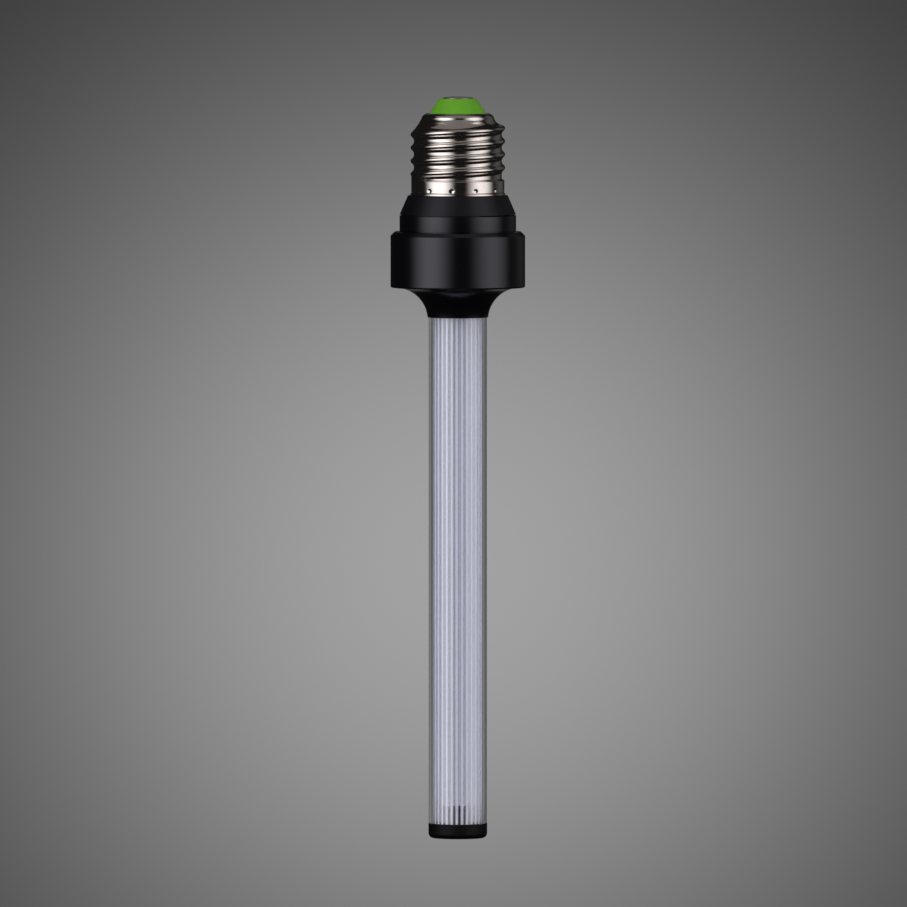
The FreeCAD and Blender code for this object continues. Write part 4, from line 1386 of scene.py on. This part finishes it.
@dataclass(frozen=True)
class SoftBox:
    """One upright soft box that faces the axis, bright in its middle and dark at both sides.

    Its azimuth is in degrees from the front, and its sizes and heights are in metres.
    """

    name: str
    azimuth: float
    distance: float
    width: float
    low: float
    high: float
    radiance: float
    through_glass: bool = True
    in_gloss: bool = True

    def hang(self) -> None:
        """Hang the lamp, and say which rays see it."""
        holder = area_lamp(self.name, (self.width, self.high - self.low), self.radiance)
        self.shade(holder.data)
        angle = math.radians(self.azimuth)
        away = Vector((math.sin(angle), -math.cos(angle), 0)) * self.distance
        holder.location = (away.x, away.y, (self.high + self.low) / 2)
        holder.rotation_euler = (math.pi / 2, 0, angle)
        holder.visible_transmission = self.through_glass
        holder.visible_glossy = self.in_gloss

    @staticmethod
    def shade(lamp: bpy.types.Light) -> None:
        """Let the face fade out towards both sides, as cloth in front of one bulb does.

        Args:
            lamp: The soft box's lamp.
        """
        lamp.use_nodes = True
        tree = lamp.node_tree
        face = add_node(tree, "ShaderNodeNewGeometry").outputs["Parametric"]
        glow = add_node(tree, "ShaderNodeSeparateXYZ", None, {"Vector": face}).outputs["X"]
        for step, by in (("MULTIPLY", math.pi), ("SINE", 0.0), ("POWER", 2.0)):
            glow = add_node(tree, "ShaderNodeMath", {"operation": step}, {
                0: glow, 1: by,
            }).outputs[0]
        tree.links.new(glow, tree.nodes["Emission"].inputs["Strength"])


@dataclass
class Studio:
    """The plain stage: floor, a backdrop with a painted pool of light, air, soft boxes and the
    camera.

    Lengths are in metres. The camera's lens and its aim, (across, up), are in millimetres.
    """

    floor_drop: float = 2.0
    floor_half: float = 30.0
    floor_tint: str = "#b9b9b9"
    backdrop_away: float = 12.0
    backdrop_half: float = 1.2
    # The backdrop's painted pool of light: how bright its middle glows, how dim its edge stays,
    # where its middle stands and how far it reaches.
    backdrop_glow: float = 0.34
    backdrop_edge: float = 0.02
    glow_height: float = -0.705
    glow_reach: float = 0.389
    air: float = 0.3
    seen_air: float = 0.15
    dark_air: float = 0.01
    air_through_glass: float = 0.11
    card_size: tuple[float, float] = (2.3, 1.9)
    card_place: tuple[float, float, float] = (0.1, -0.4, 1.3)
    card_radiance: float = 0.2
    card_tint: str = "#fff7f4"
    distance: float = 6.0
    elevation: float = 2.6
    lens: float = 865.4
    sight: float = 100.0
    aim: tuple[float, float] = (-1.19, -71.15)
    boxes: tuple[SoftBox, ...] = (
        SoftBox("left_soft_box", -47.5, 1.2, 2.2, -0.27, 1.4, 1.85),
        SoftBox("right_soft_box", 59.5, 1.2, 2.15, -0.27, 1.4, 1.32),
        SoftBox("right_fill", 130, 1.6, 2.2, -0.27, 1.2, 0.08),
        SoftBox("left_fill", -167, 1.6, 1.5, -0.4, 1.2, 0.21, in_gloss=False),
        SoftBox("low_back_strip", 180, 1.2, 0.5, -1.5, -0.28, 0.2, through_glass=False),
        SoftBox("high_back_strip", 180, 1.2, 0.5, 0.28, 1.4, 0.35, through_glass=False),
    )

    def build(self) -> None:
        """Set the stage."""
        self.build_floor()
        self.build_backdrop()
        self.build_air()
        for box in self.boxes:
            box.hang()
        self.build_top_card()
        self.build_camera()
        bpy.context.scene.view_settings.view_transform = "Standard"

    @staticmethod
    def place_sheet(
        name: str, half: float, place: Matrix, material: bpy.types.Material,
    ) -> bpy.types.Object:
        """Make a flat square piece of the stage.

        Args:
            name: The piece's name.
            half: Half its width, in metres.
            place: Where it lies, from level at the origin.
            material: Its material.

        Returns:
            The piece, known to the frame as stage.
        """
        mesh = bmesh.new()
        bmesh.ops.create_grid(mesh, x_segments=2, y_segments=2, size=half)
        bmesh.ops.transform(mesh, matrix=place, verts=mesh.verts)
        sheet = mesh_object(name, mesh, material)
        sheet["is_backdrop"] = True
        return sheet

    def build_floor(self) -> None:
        """Lay the pale floor as far down as under a pendant. It is clear when seen from below."""
        surface = Surface("pale_studio_floor")
        surface.set(Base_Color=colour(self.floor_tint), Roughness=0.9, Specular_IOR_Level=0.0)
        tree = surface.tree
        below = add_node(tree, "ShaderNodeNewGeometry").outputs["Backfacing"]
        clear = add_node(tree, "ShaderNodeBsdfTransparent").outputs["BSDF"]
        one_sided = add_node(tree, "ShaderNodeMixShader", None, {
            0: below, 1: surface.shader.outputs["BSDF"], 2: clear,
        })
        tree.links.new(one_sided.outputs[0], tree.nodes["Material Output"].inputs["Surface"])
        level = Matrix.Translation((0, 0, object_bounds()[0].z - self.floor_drop))
        floor = self.place_sheet("studio_floor", self.floor_half, level, surface.material)
        floor.visible_glossy = False

    def build_backdrop(self) -> None:
        """Hang the backdrop far behind, with a painted pool of light: bright in its middle and
        darker all round.
        """
        surface = Surface("backdrop_painted_light_pool")
        tree = surface.tree
        scale = 1 / self.glow_reach
        # Painted pool of light: the backdrop glows brightest round one point and fades out to all
        # sides.
        spread = add_node(tree, "ShaderNodeMapping", None, {
            "Vector": surface.place, "Scale": (scale, 0, scale),
            "Location": (0, 0, -self.glow_height * scale),
        }).outputs["Vector"]
        glow = add_node(tree, "ShaderNodeVectorMath", {"operation": "DOT_PRODUCT"}, {
            0: spread, 1: spread,
        }).outputs["Value"]
        steps = (
            ("MULTIPLY", -1.0, 0.0),
            ("EXPONENT", 0.0, 0.0),
            ("MULTIPLY_ADD", self.backdrop_glow, self.backdrop_edge),
        )
        for step, by, plus in steps:
            glow = add_node(tree, "ShaderNodeMath", {"operation": step}, {
                0: glow, 1: by, 2: plus,
            }).outputs[0]
        surface.set(
            Base_Color=colour("#000000"), Specular_IOR_Level=0.0, Emission_Color=colour("#ffffff"),
            Emission_Strength=glow,
        )
        upright = Matrix.Rotation(math.pi / 2, 4, "X")
        place = Matrix.Translation((0, self.backdrop_away, self.glow_height)) @ upright
        backdrop = self.place_sheet("studio_backdrop", self.backdrop_half, place, surface.material)
        backdrop.visible_diffuse = False

    def build_air(self) -> None:
        """Fill the room with an even grey light, which gloss sees as a dark room."""
        world = bpy.data.worlds.new("studio_air")
        world.use_nodes = True
        tree = world.node_tree
        path = add_node(tree, "ShaderNodeLightPath").outputs
        strength = self.seen_air
        # A ray through glass counts as glossy too, so it comes last.
        for ray, seen in (
            ("Is Diffuse Ray", self.air),
            ("Is Glossy Ray", self.dark_air),
            ("Is Transmission Ray", self.air_through_glass),
        ):
            strength = add_node(tree, "ShaderNodeMapRange", None, {
                "Value": path[ray], "To Min": strength, "To Max": seen,
            }).outputs["Result"]
        background = tree.nodes["Background"]
        background.inputs["Color"].default_value = colour("#ffffff")
        tree.links.new(strength, background.inputs["Strength"])
        bpy.context.scene.world = world

    def build_top_card(self) -> None:
        """Hang a dim card over the bulb, which the shell's shoulder and upper flanks reflect."""
        card = area_lamp("top_card", self.card_size, self.card_radiance)
        card.data.color = colour(self.card_tint)[:3]
        card.location = self.card_place

    def build_camera(self) -> None:
        """Stand the camera at the photograph's angle, far off with a long lens."""
        data = bpy.data.cameras.new("long_lens")
        data.lens = self.lens
        data.clip_end = self.sight
        camera = bpy.data.objects.new("long_lens", data)
        tilt = math.radians(self.elevation)
        aim = Vector((self.aim[0], 0, self.aim[1])) * MM
        camera.location = aim + Vector((0, -math.cos(tilt), math.sin(tilt))) * self.distance
        camera.rotation_euler = (math.pi / 2 - tilt, 0, 0)
        bpy.context.scene.collection.objects.link(camera)
        bpy.context.scene.camera = camera


def main() -> None:
    """Build the bulb and its stage."""
    logging.basicConfig(level=logging.INFO, format="%(message)s")
    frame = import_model()
    wardrobe = Wardrobe()
    ScrewCap(wardrobe).build()
    Body(wardrobe).build()
    LightColumn(wardrobe).build()
    Electronics(wardrobe).build(frame["nodes"])
    Studio().build()


if __name__ == "__main__":
    main()
